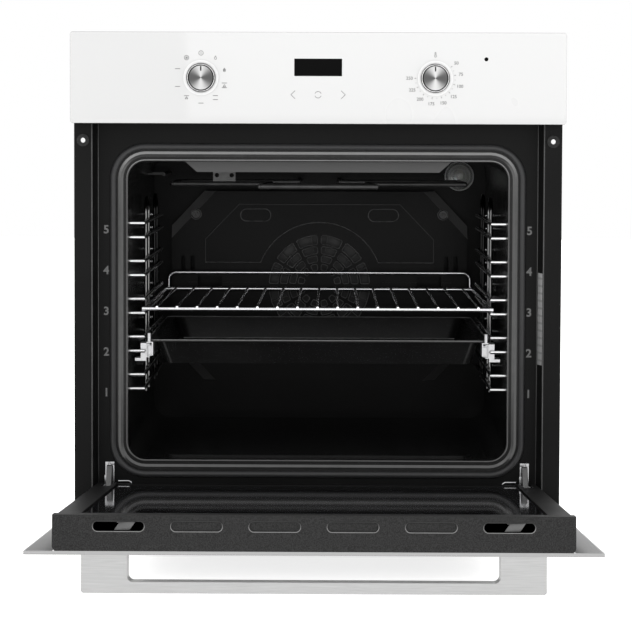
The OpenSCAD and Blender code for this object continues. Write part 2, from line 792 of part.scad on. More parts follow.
module runner_fixed_rails() {
    color("gainsboro") both_sides() channel(runner_x, 4.6, runner_z - 8, runner_z + 9, 1.2, runner_y0, runner_y1);
}

module runner_middles() {
    color("gainsboro") both_sides() {
        channel(runner_x - 1.2 - slack, 5.4, runner_z - 6.4, runner_z + 7.4, 1.2, runner_y0 + 2, runner_y1 - 2);
    }
}

// Moving members: they run in the middle ones and carry the tray's rim
module runner_slides() {
    x = runner_x - 2.4 - 2 * slack;
    y0 = runner_y0 - 9;
    y1 = runner_y1 - 4;
    color("gainsboro") both_sides() {
        block(x - 5, x, y0 + 10, y1, runner_z - 4.8, runner_z + 5.8);
        block(x - 6.4, x - 5 + eps, y0, y1, runner_z - 4.8, tray_z1 - 1.5);
        block(x - 6.4, x + 1.6, y0, y1, tray_z1 - 2.7, tray_z1 - 1.5);
        // peg that keeps the tray from sliding off
        translate([x - 1.4, y0 + 3, tray_z1 - 2]) cylinder(h = 11, r = 2.2);
    }
}

// Zinc clips that hook the fixed rails onto the lower rack rail
module runner_clips() {
    color("gainsboro") both_sides() for (y = [runner_y0 + 1, rack_y1 - 27]) difference() {
        block(runner_x + eps, rail_x + 11, y, y + 22, runner_z - 12.5, runner_z + 9.5);
        rod([rail_x, y - 1, runner_z], [rail_x, y + 24, runner_z], rail_r + 0.1);
        block(rail_x + rail_r + 1.8, rail_x + 14, y - 1, y + 24, runner_z - 9, runner_z + 20);
        block(runner_x - 1, rail_x + rail_r + 0.2, y + 2, y + 30, runner_z - 20, runner_z - 4.5);
    }
}

module wire_shelf() {
    cross_z = shelf_z + bar_r - 0.6;
    color("silver") {
        for (y = [shelf_y0, shelf_y1]) x_cyl(-shelf_x, y, shelf_z, 2 * shelf_x, bar_r);
        for (x = [bar_r - shelf_x, shelf_x - bar_r]) rod([x, shelf_y0, shelf_z], [x, shelf_y1, shelf_z], bar_r);
        for (i = [0 : wires - 1]) {
            x = (i - (wires - 1) / 2) * wire_pitch;
            rod([x, shelf_y0 - bar_r, cross_z], [x, shelf_y1 + 1, cross_z], wire_r);
        }
    }
}

// Raised wire that keeps dishes off the back wall
module shelf_guard() {
    x = shelf_x - 2.5 * bar_r;
    z = shelf_z + bar_r + eps;
    r = bar_r - 0.5;
    bend = 10;
    color("silver") {
        x_cyl(bend - x, shelf_y1, z + guard_h, 2 * (x - bend), r);
        both_sides() {
            translate([x, shelf_y1, z]) cylinder(h = guard_h - bend, r = r);
            translate([x - bend, shelf_y1, z + guard_h - bend]) rotate([90, 0, 0])
                rotate_extrude(angle = 90) translate([bend, 0]) circle(r);
        }
    }
}

// Enamelled tray: rim on the runners, walls drawn in towards the bottom
module tray_well(inset, z0, z1) {
    y0 = shelf_y0 + tray_rim - 4;
    y1 = shelf_y1 - tray_rim;
    hull() {
        translate([0, 0, z1 - eps]) linear_extrude(eps)
            rrect(inset - well_x, well_x - inset, y0 + inset, y1 - inset, 14, $fn = 32);
        translate([0, 0, z0]) linear_extrude(eps)
            rrect(inset + 10 - well_x, well_x - 10 - inset, y0 + 10 + inset, y1 - 10 - inset, 14, $fn = 32);
    }
}

module baking_tray() {
    t = 1.5;
    color([0.12, 0.12, 0.13]) difference() {
        union() {
            translate([0, 0, tray_z1 - t]) linear_extrude(t)
                rrect(-tray_x, tray_x, shelf_y0 - 2, shelf_y1 - 4, 8);
            tray_well(0, tray_z1 - tray_h, tray_z1 - t / 2);
        }
        tray_well(t, tray_z1 - tray_h + t, tray_z1 + 1);
        both_sides() translate([runner_x - 4.4 - 2 * slack + 0.6, runner_y0 - 6, tray_z1 - 5]) cylinder(h = 9, r = 4);
    }
}

// ---- cooling system and supply ----

blower_y = 60;

module air_duct() {
    t = casing_t;
    color("silver") difference() {
        block(-150, 150, frame_y + sheet_t, blower_y + blower_r + 24, duct_z0, duct_z0 + duct_h);
        block(-150 + t, 150 - t, frame_y - 1, blower_y + blower_r + 24 - t, duct_z0 + t, duct_z0 + duct_h - t);
        translate([0, blower_y, duct_z0 + duct_h - 5]) cylinder(h = 10, r = blower_r - 6);
    }
}

module cooling_fan_housing() {
    z = duct_z0 + duct_h;
    color("silver") translate([0, blower_y, z]) difference() {
        cylinder(h = 30, r = blower_r + 14);
        translate([0, 0, -1]) cylinder(h = 30, r = blower_r + 13);
        translate([0, 0, 20]) cylinder(h = 20, r = 12);
        for (a = [30 : 60 : 330]) rotate(a) translate([blower_r - 18, 0, 20]) cylinder(h = 20, r = 9);
    }
}

module cooling_fan_motor() {
    z = duct_z0 + duct_h + 30;
    color("dimgray") translate([0, blower_y, z]) difference() {
        union() {
            translate([0, 0, 2]) cylinder(h = 26, r = 24);
            cylinder(h = 2, r = 30);
        }
        translate([0, 0, -1]) cylinder(h = 22, r = shaft_r + run_fit);
    }
}

module cooling_fan_wheel() {
    z = duct_z0 + duct_h + 2;
    color("white") translate([0, blower_y, z]) {
        translate([0, 0, 20]) cylinder(h = 1.5, r = blower_r);
        cylinder(h = 21, r = 10);
        cylinder(h = 42, r = shaft_r);
        for (a = [0 : 15 : 345]) rotate(a) translate([blower_r - 16, -0.6, 0]) cube([15, 1.2, 21]);
    }
}

// Supply terminal block in its box; the cable enters from below
module terminal_box() {
    x = -casing_x + 65;
    z = body_h - 60;
    y0 = rear_panel_y + casing_t;
    color([0.15, 0.15, 0.15]) difference() {
        block(x - 38, x + 38, y0, rear_y, z - 28, z + 28);
        block(x - 35.5, x + 35.5, y0 - 1, rear_y - 2, z - 25.5, z + 25.5);
        translate([x, y0 + 10.5, z - 30]) cylinder(h = 8, r = 5.5);
    }
}

// ---- door hinges ----

// Hooked arm that stays in the oven while the door turns on its pin
module hinge_arms() {
    color("gainsboro") both_sides() difference() {
        union() {
            x_cyl(hinge_x - arm_t / 2, pin_y, hinge_z, arm_t, 8);
            translate([hinge_x - arm_t / 2, 0, 0]) rotate([90, 0, 90]) linear_extrude(arm_t)
                polygon([[pin_y - 6, hinge_z + 5], [pin_y + 5, hinge_z - 6], [frame_y - 2, arm_z0],
                    [frame_y + 6, arm_z0], [frame_y + 6, arm_z0 + 4], [frame_y + 12, arm_z0 + 4],
                    [frame_y + 12, arm_z0], [frame_y + 36, arm_z0 + 2], [frame_y + 36, arm_z1 - 4],
                    [frame_y + 30, arm_z1], [frame_y - 6, arm_z1]]);
        }
        x_cyl(hinge_x - arm_t / 2 - 1, pin_y, hinge_z, arm_t + 2, pin_r + run_fit);
    }
}

module hinge_receptacles() {
    y0 = frame_y + sheet_t;
    color("silver") both_sides() {
        for (s = [-1, 1]) translate([hinge_x + s * (arm_t / 2 + 1.2), 0, 0])
            block(-0.8, 0.8, y0, y0 + 40, arm_z0 - 6, arm_z1 + 2.5);
        block(hinge_x - 3.6, hinge_x + 3.6, y0 + 38, y0 + 40, arm_z0 - 6, arm_z1 + 2.5);
        // cross pin that the arm's notch hooks over
        x_cyl(hinge_x - arm_t / 2 - 0.4, frame_y + 9, arm_z0 + 1.2, arm_t + 0.8, 2.4);
    }
}

// ---- door, drawn closed and then opened ----

module door_outer_glass() {
    color([0.93, 0.93, 0.93]) opened() difference() {
        slab(panel_y, glass_t) rrect(-door_half, door_half, door_lift, door_z1, 2);
        for (x = [-1, 1]) y_cyl(x * (handle_w - leg_w) / 2, panel_y - 1, handle_z0 + handle_h / 2, glass_t + 2, 2.6);
    }
}

handle_z0 = door_z1 - handle_h - 3;

module door_middle_glass() {
    color([0.3, 0.35, 0.35]) opened()
        block(-glass_half, glass_half, frame_y - 24, frame_y - 20, inner_z0 + 18.4, trim_z0 - 0.4);
}

module door_inner_glass() {
    color([0.1, 0.1, 0.12]) opened()
        block(-glass_half, glass_half, rail_face_y - 6, rail_face_y - 2, inner_z0 + 18.4, trim_z0 - 0.4);
}

module door_side_rails() {
    y0 = panel_y + glass_t;
    color([0.12, 0.12, 0.12]) opened() both_sides() difference() {
        block(inner_half - rail_w, inner_half, y0, rail_face_y, inner_z0, trim_z0);
        block(inner_half - rail_w + rail_t, inner_half - rail_t, y0 + rail_t, rail_face_y - rail_t, inner_z0 - 1,
            trim_z0 + 1);
        // slot for the hinge arm
        block(hinge_x - 6, hinge_x + 6, y0 + rail_t - eps, rail_face_y + 1, inner_z0 - 1, arm_z1 + 9);
    }
}

// Outline of the trim seen from above: its two corners by the outer glass are rounded
module trim2d(x, y0, y1) {
    r = 5;
    translate([-x, y0 + r]) square([2 * x, y1 - y0 - r]);
    translate([r - x, y0]) square([2 * (x - r), r + 1]);
    for (s = [-1, 1]) translate([s * (x - r), y0 + r]) circle(r);
}

module door_top_trim() {
    y0 = panel_y + glass_t;
    y1 = frame_y - 1;
    slot_y = (y0 + y1) / 2 + vent_off;
    color([0.1, 0.1, 0.1]) opened() difference() {
        translate([0, 0, trim_z0]) linear_extrude(trim_h) trim2d(inner_half, y0, y1);
        translate([0, 0, trim_z0 - 1]) linear_extrude(trim_h - 2) trim2d(inner_half - 2.5, y0 + 2.5, y1 - 2.5);
        for (i = [0 : 5]) translate([(i - 2.5) * vent_pitch, slot_y, door_z1 - (i == 0 || i == 5 ? 4 : 1.5)])
            linear_extrude(5) oblong(vent_w, vent_h);
        // screws of the handle pass up from inside
        for (x = [-1, 1]) y_cyl(x * (handle_w - leg_w) / 2, y0 - 1, handle_z0 + handle_h / 2, 4, 2.6);
    }
}

module door_bottom_rail() {
    y0 = panel_y + glass_t;
    x = inner_half - rail_w - 0.2;
    color([0.12, 0.12, 0.12]) opened() difference() {
        block(-x, x, y0, rail_face_y - 1, inner_z0, inner_z0 + 18);
        block(2 - x, x - 2, y0 + 2, rail_face_y - 3, inner_z0 - 1, inner_z0 + 16);
    }
}

module door_handle() {
    y1 = panel_y - eps;
    color([0.75, 0.75, 0.77]) opened() difference() {
        translate([0, 0, handle_z0]) linear_extrude(handle_h) difference() {
            union() {
                rrect(-handle_w / 2, handle_w / 2, y1 - handle_out, y1, 3);
                for (s = [-1, 1]) translate([s * (handle_w - leg_w) / 2 - leg_w / 2, y1 - 6]) square([leg_w, 6]);
            }
            rrect(leg_w - handle_w / 2, handle_w / 2 - leg_w, y1 - handle_out + grip_t, y1 + 20, 6);
        }
        for (x = [-1, 1]) y_cyl(x * (handle_w - leg_w) / 2, y1 - 20, handle_z0 + handle_h / 2, 21, 2.5);
    }
}

module handle_screws() {
    color("silver") opened() for (x = [-1, 1]) translate([x * (handle_w - leg_w) / 2, 0, handle_z0 + handle_h / 2]) {
        y_cyl(0, panel_y - 18, 0, 18 + glass_t + 2.5, 2.45);
        y_cyl(0, panel_y + glass_t + 2.5, 0, 3, 4.5);
    }
}

// Steel channels inside the side rails, with the pins that the arms turn on
module hinge_bodies() {
    y0 = panel_y + glass_t + rail_t + 0.5;
    color("silver") opened() both_sides() {
        for (s = [-1, 1]) translate([hinge_x + s * (arm_t / 2 + 0.3 + cheek_t / 2), 0, 0])
            block(-cheek_t / 2, cheek_t / 2, y0, rail_face_y - 2, inner_z0 + 1, arm_z1 + 24);
        block(hinge_x - arm_t / 2 - 0.3 - eps, hinge_x + arm_t / 2 + 0.3 + eps, y0, y0 + 1.5, inner_z0 + 1, arm_z1 + 24);
        block(hinge_x - arm_t / 2 - 0.3 - eps, hinge_x + arm_t / 2 + 0.3 + eps, y0, rail_face_y - 2, arm_z1 + 22, arm_z1 + 24);
        x_cyl(hinge_x - arm_t / 2 - 0.3 - cheek_t + eps, pin_y, hinge_z, arm_t + 0.6 + 2 * (cheek_t - eps), pin_r);
    }
}

// Closed coil of the balancing spring, with its draw rod
module hinge_springs() {
    z0 = arm_z1 + 26;
    n = 26;
    p = 4;
    color("dimgray") opened() both_sides() translate([hinge_x, (panel_y + rail_face_y) / 2 + 2, z0]) {
        rotate_extrude() {
            square([5, n * p]);
            for (i = [0 : n - 1]) translate([5, (i + 0.5) * p]) circle(p / 2 - 0.1);
        }
        translate([0, 0, n * p - eps]) cylinder(h = 30, r = 2);
        translate([0, 0, -1.9]) cylinder(h = 2, r = 2);
    }
}

front_frame();
fixing_bushes();
cavity_wrap();
cavity_back();
door_gasket();
side_panel_left();
side_panel_right();
top_panel();
base_panel();
rear_panel();
insulation();
control_panel_glass();
control_panel_frame();
display_module();
indicator_lamp();
knob_bezels();
function_selector();
thermostat();
thermostat_probe();
fan_cover();
fan_cover_screws();
fan_motor();
ring_heater();
grill_element();
grill_bracket();
bottom_heater();
lamp_housing();
lamp_glass();
lamp_bulb();
side_rack_left();
side_rack_right();
runner_fixed_rails();
runner_clips();
cooling_fan_housing();
cooling_fan_motor();
air_duct();
terminal_box();
hinge_arms();
hinge_receptacles();
function_spindle();
function_knob();
temperature_spindle();
temperature_knob();
convection_fan();
cooling_fan_wheel();
wire_shelf();
shelf_guard();
runner_middles();
runner_slides();
baking_tray();
door_outer_glass();
door_middle_glass();
door_inner_glass();
door_side_rails();
door_top_trim();
door_bottom_rail();
door_handle();
handle_screws();
hinge_bodies();
hinge_springs();
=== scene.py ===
import json
import math

import bpy
from mathutils import Euler, Matrix, Vector


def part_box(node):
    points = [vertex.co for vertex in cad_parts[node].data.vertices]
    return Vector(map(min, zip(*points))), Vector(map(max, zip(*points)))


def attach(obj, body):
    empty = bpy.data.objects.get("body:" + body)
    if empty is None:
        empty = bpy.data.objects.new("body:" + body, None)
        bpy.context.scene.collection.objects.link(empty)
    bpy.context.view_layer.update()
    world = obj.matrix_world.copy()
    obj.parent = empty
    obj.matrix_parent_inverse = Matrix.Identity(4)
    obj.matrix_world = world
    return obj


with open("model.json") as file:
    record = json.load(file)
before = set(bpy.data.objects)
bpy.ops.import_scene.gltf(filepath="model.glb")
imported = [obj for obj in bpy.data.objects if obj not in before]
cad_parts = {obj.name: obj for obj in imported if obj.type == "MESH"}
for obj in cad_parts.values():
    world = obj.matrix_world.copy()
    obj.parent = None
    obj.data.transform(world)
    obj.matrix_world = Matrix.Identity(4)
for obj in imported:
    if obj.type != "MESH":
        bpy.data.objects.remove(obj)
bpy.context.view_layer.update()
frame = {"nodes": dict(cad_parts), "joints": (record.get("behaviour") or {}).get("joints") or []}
MM = 0.001

# ---- camera -----------------------------------------------------------------------------------
# A long lens from in front, a little below the control panel's height, looking slightly down.
camera_data = bpy.data.cameras.new("camera")
camera_data.lens = 128.11
camera_data.shift_x = 0.0
camera_data.shift_y = -0.1182
camera = bpy.data.objects.new("camera", camera_data)
camera.location = (0.017, -2.997, 0.4767)
tilt = Euler((math.radians(90 - 2.8), 0, math.radians(0.4))).to_matrix()
camera.rotation_euler = (tilt @ Matrix.Rotation(math.radians(0.2), 3, "Z")).to_euler()
bpy.context.collection.objects.link(camera)
bpy.context.scene.camera = camera
bpy.context.scene.view_settings.view_transform = "Standard"

# ---- floor and light --------------------------------------------------------------------------
# A pale studio floor that the oven stands on, a broad soft key from the upper front left, a weaker
# fill from the right, and a low front card that lights the inside of the cavity.
bpy.ops.object.select_all(action="DESELECT")
bpy.ops.mesh.primitive_plane_add(size=14, location=(0, 0, 0))
floor = bpy.context.object
floor.name = "floor"
floor_paint = bpy.data.materials.new("pale_floor")
floor_paint.use_nodes = True
floor_shader = floor_paint.node_tree.nodes["Principled BSDF"].inputs
floor_shader["Base Color"].default_value = (0.93, 0.93, 0.92, 1)
floor_shader["Roughness"].default_value = 0.7
floor_shader["Emission Color"].default_value = (1, 1, 1, 1)
floor_shader["Emission Strength"].default_value = 0.75
floor.data.materials.append(floor_paint)

world = bpy.data.worlds.new("studio")
bpy.context.scene.world = world
world.use_nodes = True
world.node_tree.nodes["Background"].inputs["Color"].default_value = (1, 1, 1, 1)
world.node_tree.nodes["Background"].inputs["Strength"].default_value = 1.0


def softbox(name, size, place, aim, watts):
    data = bpy.data.lights.new(name, "AREA")
    data.shape = "RECTANGLE"
    data.size, data.size_y = size
    data.energy = watts
    lamp = bpy.data.objects.new(name, data)
    lamp.location = place
    lamp.rotation_euler = (Vector(aim) - Vector(place)).to_track_quat("-Z", "Y").to_euler()
    bpy.context.collection.objects.link(lamp)


softbox("key", (2.2, 1.4), (-1.6, -2.6, 2.3), (0, -0.3, 0.3), 9)
softbox("fill", (1.6, 1.6), (2.2, -2.2, 1.2), (0, -0.3, 0.3), 3)
softbox("cavity_card", (0.9, 0.5), (0.15, -2.4, 0.75), (0, 0.2, 0.25), 2)
softbox("back_light", (2.4, 1.2), (0.8, 2.6, 1.8), (0, 0.2, 0.3), 8)

# ---- casing -----------------------------------------------------------------------------------
# Folded panels of hot-dip galvanised sheet around the insulated cavity: two sides, base, top and
# rear.  The zinc's spangles show as soft grey cells.  The same sheet makes the air duct and the
# cooling fan's housing.


class Val:
    """A shader socket that can be used in sums, such as 1 - mask * 0.5."""

    def __init__(self, finish, socket):
        self.finish, self.socket = finish, socket

    def math(self, operation, *values):
        return self.finish.node("Math", dict(enumerate(values)), operation=operation)

    def __add__(self, other):
        return self.math("ADD", self, other)

    def __radd__(self, other):
        return self.math("ADD", other, self)

    def __sub__(self, other):
        return self.math("SUBTRACT", self, other)

    def __rsub__(self, other):
        return self.math("SUBTRACT", other, self)

    def __mul__(self, other):
        return self.math("MULTIPLY", self, other)

    def __rmul__(self, other):
        return self.math("MULTIPLY", other, self)

    def __truediv__(self, other):
        return self.math("DIVIDE", self, other)

    def __rtruediv__(self, other):
        return self.math("DIVIDE", other, self)

    def __gt__(self, other):
        return self.math("GREATER_THAN", self, other)

    def __lt__(self, other):
        return self.math("LESS_THAN", self, other)

    def __pow__(self, other):
        return self.math("POWER", self, other)

    def __abs__(self):
        return self.math("ABSOLUTE", self)


class Finish:
    """A procedural finish: a Principled shader and the nodes that feed it."""

    def __init__(self, name, base, rough, metal=0.0, **fixed):
        self.material = bpy.data.materials.new(name)
        self.material.use_nodes = True
        self.tree = self.material.node_tree
        self.shader = self.tree.nodes["Principled BSDF"]
        self.shader.inputs["Base Color"].default_value = (*base, 1)
        self.shader.inputs["Roughness"].default_value = rough
        self.shader.inputs["Metallic"].default_value = metal
        for socket, value in fixed.items():
            self.shader.inputs[socket.replace("_", " ")].default_value = value

    def node(self, kind, feeds, out=0, **settings):
        made = self.tree.nodes.new("ShaderNode" + kind)
        for key, value in settings.items():
            setattr(made, key, value)
        for key, value in feeds.items():
            if isinstance(value, Val):
                self.tree.links.new(value.socket, made.inputs[key])
            else:
                made.inputs[key].default_value = value
        return Val(self, made.outputs[out])

    def place(self, scale=(1, 1, 1)):
        where = self.node("TexCoord", {}, out="Object")
        return self.node("Mapping", {"Vector": where, "Scale": scale})

    def xyz(self):
        where = self.node("TexCoord", {}, out="Object")
        apart = self.tree.nodes.new("ShaderNodeSeparateXYZ")
        self.tree.links.new(where.socket, apart.inputs[0])
        return [Val(self, s) for s in apart.outputs]

    def noise(self, scale, detail=3.0, stretch=(1, 1, 1)):
        return self.node("TexNoise", {"Vector": self.place(stretch), "Scale": scale, "Detail": detail},
                         out="Fac")

    def cells(self, scale, out="Distance"):
        return self.node("TexVoronoi", {"Vector": self.place(), "Scale": scale}, out=out)

    def ramp(self, value, low, high):
        return self.node("MapRange", {"Value": value, "From Min": low, "From Max": high})

    def blend(self, factor, first, second):
        def colour(c):
            return c if isinstance(c, Val) else (*c, 1)
        return self.node("Mix", {0: factor, 6: colour(first), 7: colour(second)}, out=2,
                         data_type="RGBA")

    def feed(self, **links):
        for socket, value in links.items():
            self.tree.links.new(value.socket, self.shader.inputs[socket.replace("_", " ")])

    def bump(self, height, strength, depth):
        self.feed(Normal=self.node("Bump", {"Height": height, "Strength": strength, "Distance": depth}))

    def on(self, *nodes):
        for name in nodes:
            for slot in frame["nodes"][name].material_slots:
                slot.material = self.material


def settle(piece, name, finish, body, smooth=True):
    """Names a finished piece, fixes its place in its mesh, and gives it its finish, body and slot."""
    bpy.ops.object.select_all(action="DESELECT")
    piece.select_set(True)
    bpy.context.view_layer.objects.active = piece
    piece.name = name
    bpy.ops.object.transform_apply(location=True, rotation=True, scale=True)
    if smooth:
        bpy.ops.object.shade_smooth_by_angle(angle=math.radians(40))
    piece.data.materials.clear()
    piece.data.materials.append(finish.material)
    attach(piece, body)
    return piece


def joined(pieces):
    bpy.ops.object.select_all(action="DESELECT")
    for piece in pieces:
        piece.select_set(True)
    bpy.context.view_layer.objects.active = pieces[0]
    bpy.ops.object.join()
    return bpy.context.object


def copies(pattern, places):
    """Copies of a piece, each with its own mesh, at (place, turn) pairs. The pattern is used up."""
    made = []
    for place, turn in places:
        copy = pattern.copy()
        copy.data = pattern.data.copy()
        bpy.context.collection.objects.link(copy)
        copy.location, copy.rotation_euler = place, turn
        made.append(copy)
    bpy.data.objects.remove(pattern)
    return joined(made)


FRONT, SIDE, LEVEL = (math.pi / 2, 0, 0), (math.pi / 2, 0, math.pi / 2), (0, 0, 0)


def bead(middle, size, corner, thick, turn=FRONT):
    """A bead of round section that follows a rounded rectangle."""
    bpy.ops.object.select_all(action="DESELECT")
    bpy.ops.mesh.primitive_plane_add(size=1)
    piece = bpy.context.object
    piece.scale = (*size, 1)
    bpy.ops.object.transform_apply(scale=True)
    bpy.ops.object.mode_set(mode="EDIT")
    bpy.ops.mesh.select_all(action="SELECT")
    bpy.ops.mesh.bevel(offset=corner, segments=8, affect="VERTICES")
    bpy.ops.mesh.delete(type="ONLY_FACE")
    bpy.ops.object.mode_set(mode="OBJECT")
    bpy.ops.object.convert(target="CURVE")
    piece.data.bevel_depth = thick
    piece.data.bevel_resolution = 2
    bpy.ops.object.convert(target="MESH")
    piece.location, piece.rotation_euler = middle, turn
    return piece


galvanised = Finish("galvanised_sheet", (0.55, 0.56, 0.57), 0.4, 0.85)
spangle = galvanised.cells(70, out="Color")
tone = galvanised.node("SeparateColor", {0: spangle}, out=0)
cloud = galvanised.noise(6)
galvanised.feed(Base_Color=galvanised.blend(tone * 0.6 + cloud * 0.4, (0.36, 0.37, 0.38),
                                            (0.55, 0.555, 0.56)),
                Roughness=0.3 + tone * 0.16 + cloud * 0.1)
galvanised.bump(tone + galvanised.noise(900) * 0.3, 0.08, 0.0004)
galvanised.on("side_panel_left", "side_panel_right", "top_panel", "base_panel", "rear_panel",
              "cooling_fan_housing", "air_duct", "hinge_receptacles", "hinge_bodies")

side_low, side_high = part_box("side_panel_right")
rear_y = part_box("rear_panel")[1][1]
top_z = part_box("top_panel")[1][2]
side_y = (side_low[1] + side_high[1]) / 2
press_r, press_corner = 1.4 * MM, 0.03       # radius of a pressed line and of its corners
side_press, top_press, rear_press = (0.36, 0.17), (0.4, 0.2), (0.42, 0.34)
pressed = []
for face_x in (side_high[0], -side_high[0]):
    for z in (0.16, 0.4):
        pressed.append(bead((face_x, side_y, z), side_press, press_corner, press_r, SIDE))
pressed.append(bead((0, side_y - 0.05, top_z), top_press, press_corner, press_r, LEVEL))
pressed.append(bead((0.03, rear_y, 0.25), rear_press, press_corner, press_r, FRONT))
settle(joined(pressed), "casing_pressings", galvanised, "carcass")

# ---- casing screws ----------------------------------------------------------------------------
# Zinc-plated pan-head screws with a hexagonal socket, driven through the casing's folded edges.
zinc = Finish("zinc_plate", (0.58, 0.58, 0.59), 0.34, 0.9)
drawn = zinc.noise(70, 4, (8, 0.6, 8))
zinc.feed(Base_Color=zinc.blend(drawn, (0.48, 0.48, 0.49), (0.68, 0.68, 0.69)),
          Roughness=0.26 + drawn * 0.18)

bpy.ops.object.select_all(action="DESELECT")
bpy.ops.mesh.primitive_cylinder_add(vertices=24, radius=4 * MM, depth=2.4 * MM)
screw = bpy.context.object
bpy.ops.object.mode_set(mode="EDIT")
bpy.ops.mesh.select_all(action="DESELECT")
bpy.ops.mesh.select_mode(type="FACE")
bpy.ops.object.mode_set(mode="OBJECT")
for face in screw.data.polygons:
    face.select = face.normal.z > 0.9
bpy.ops.object.mode_set(mode="EDIT")
bpy.ops.mesh.bevel(offset=0.9 * MM, segments=3)
bpy.ops.mesh.inset(thickness=1.3 * MM)
bpy.ops.mesh.extrude_region_move(TRANSFORM_OT_translate={"value": (0, 0, -1.2 * MM)})
bpy.ops.object.mode_set(mode="OBJECT")
rear_edge = 0.009            # from the casing's rear edge to its last screws
spots = []
for y in (side_low[1] + 0.03, side_y, side_high[1] - rear_edge):
    for z in (0.02, 0.29, top_z - 0.02):
        spots += [((side * side_high[0], y, z), (0, side * math.pi / 2, 0)) for side in (1, -1)]
for x in (-0.26, -0.13, 0.13, 0.26):
    spots += [((x, rear_y, z), (-math.pi / 2, 0, 0)) for z in (0.014, top_z - 0.014)]
    spots += [((x, y, top_z), (0, 0, 0)) for y in (side_low[1] + 0.02, side_high[1] - rear_edge)]
settle(copies(screw, spots), "casing_screws", zinc, "carcass")

# ---- insulation -------------------------------------------------------------------------------
# A blanket of pale yellow mineral wool wrapped round the cavity, seen only through the vents.
wool = Finish("mineral_wool", (0.66, 0.6, 0.36), 0.95, Sheen_Weight=0.3)
strands = wool.noise(260, 6, (1, 6, 1))
wool.feed(Base_Color=wool.blend(strands, (0.45, 0.4, 0.22), (0.78, 0.73, 0.5)))
wool.bump(strands, 0.8, 0.003)
wool.on("insulation")

# ---- front frame ------------------------------------------------------------------------------
# Deep-drawn steel face: two cabinet flanges, sloping recess walls and the recessed plate that the
# closed door lies against, stove-painted satin black.


def grey(value):
    return (value, value, value)


frame_paint = Finish("satin_black_paint", grey(0.01), 0.42, Specular_IOR_Level=0.08)
peel = frame_paint.noise(1400, 2)
wear = frame_paint.noise(9, 4)
frame_paint.feed(Base_Color=frame_paint.blend(wear, grey(0.004), grey(0.009)),
                 Roughness=0.36 + wear * 0.14)
frame_paint.bump(peel, 0.12, 0.0002)
frame_paint.on("front_frame", "control_panel_frame", "door_side_rails", "door_bottom_rail")

frame_low, frame_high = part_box("front_frame")
wrap_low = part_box("cavity_wrap")[0]
panel_low, panel_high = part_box("control_panel_glass")
recess = 20 * MM                  # depth of the recess behind the cabinet flanges
plate_y = frame_low[1] + recess
fold_x = frame_high[0] - 21.5 * MM     # where a flange turns in
foot_x = fold_x - 5.5 * MM             # where the sloping wall meets the recessed plate
fold_z0 = frame_low[2] + 18 * MM
bend_r = 0.9 * MM

# rounded bends of the flanges, coloured lighter than the frame as a painted highlight along each fold
folds = []
for x, y in ((fold_x, frame_low[1]), (foot_x, plate_y)):
    for side in (-1, 1):
        bpy.ops.object.select_all(action="DESELECT")
        bpy.ops.mesh.primitive_cylinder_add(
            vertices=16, radius=bend_r, depth=panel_low[2] - fold_z0,
            location=(side * x, y + 0.5 * MM, (panel_low[2] + fold_z0) / 2))
        bend = bpy.context.object
        bpy.ops.object.mode_set(mode="EDIT")
        bpy.ops.mesh.bevel(offset=0.2 * MM, segments=2)
        bpy.ops.object.mode_set(mode="OBJECT")
        folds.append(bend)
# lighter grey than the frame's paint: painted highlight where the bends catch the light
fold_highlight_paint = Finish("bend_painted_highlight", grey(0.05), 0.3, Specular_IOR_Level=0.5)
fold_highlight_paint.feed(Base_Color=fold_highlight_paint.blend(fold_highlight_paint.noise(40, 4), grey(0.02), grey(0.08)))
settle(joined(folds), "frame_bends", fold_highlight_paint, "carcass")

# ---- level numbers ----------------------------------------------------------------------------
# Numbers of the five shelf levels, embossed in the frame on both sides of the opening, in a lighter
# grey than the frame as a painted highlight of their raised faces.


def number(words, place, size, thick, weight=0.0):
    bpy.ops.object.select_all(action="DESELECT")
    bpy.ops.object.text_add(location=place, rotation=FRONT)
    writing = bpy.context.object
    writing.data.body = str(words)
    writing.data.size = size
    writing.data.extrude = thick
    writing.data.offset = weight
    writing.data.align_x = writing.data.align_y = "CENTER"
    writing.data.resolution_u = 4
    bpy.ops.object.convert(target="MESH")
    return bpy.context.object


number_pitch, number_size = 50 * MM, 14 * MM
number_x = foot_x - 10 * MM
first_number = wrap_low[2] + 105.6 * MM
embossed = []
for level in range(5):
    for side in (-1, 1):
        spot = (side * number_x, plate_y, first_number + level * number_pitch)
        embossed.append(number(level + 1, spot, number_size, 0.5 * MM, 0.35 * MM))
# lighter grey than the frame: painted highlight of the raised numbers
numeral_highlight_paint = Finish("embossed_painted_highlight", grey(0.09), 0.35)
numeral_highlight_paint.feed(Base_Color=numeral_highlight_paint.blend(numeral_highlight_paint.noise(300), grey(0.05), grey(0.16)))
settle(joined(embossed), "level_numbers", numeral_highlight_paint, "carcass", smooth=False)

# ---- rating plate -----------------------------------------------------------------------------
# A blank foil plate stuck to the sloping wall of the right-hand recess. Faint rows show where the
# real one is printed.


def sheet(low, high, edge=0.2 * MM):
    """A thin plate between two opposite corners, its edges eased."""
    bpy.ops.object.select_all(action="DESELECT")
    bpy.ops.mesh.primitive_cube_add(size=1, location=[(a + b) / 2 for a, b in zip(low, high)])
    piece = bpy.context.object
    piece.scale = [b - a for a, b in zip(low, high)]
    bpy.ops.object.transform_apply(scale=True)
    bpy.ops.object.mode_set(mode="EDIT")
    bpy.ops.mesh.select_all(action="SELECT")
    bpy.ops.mesh.bevel(offset=edge, segments=2)
    bpy.ops.object.mode_set(mode="OBJECT")
    return piece


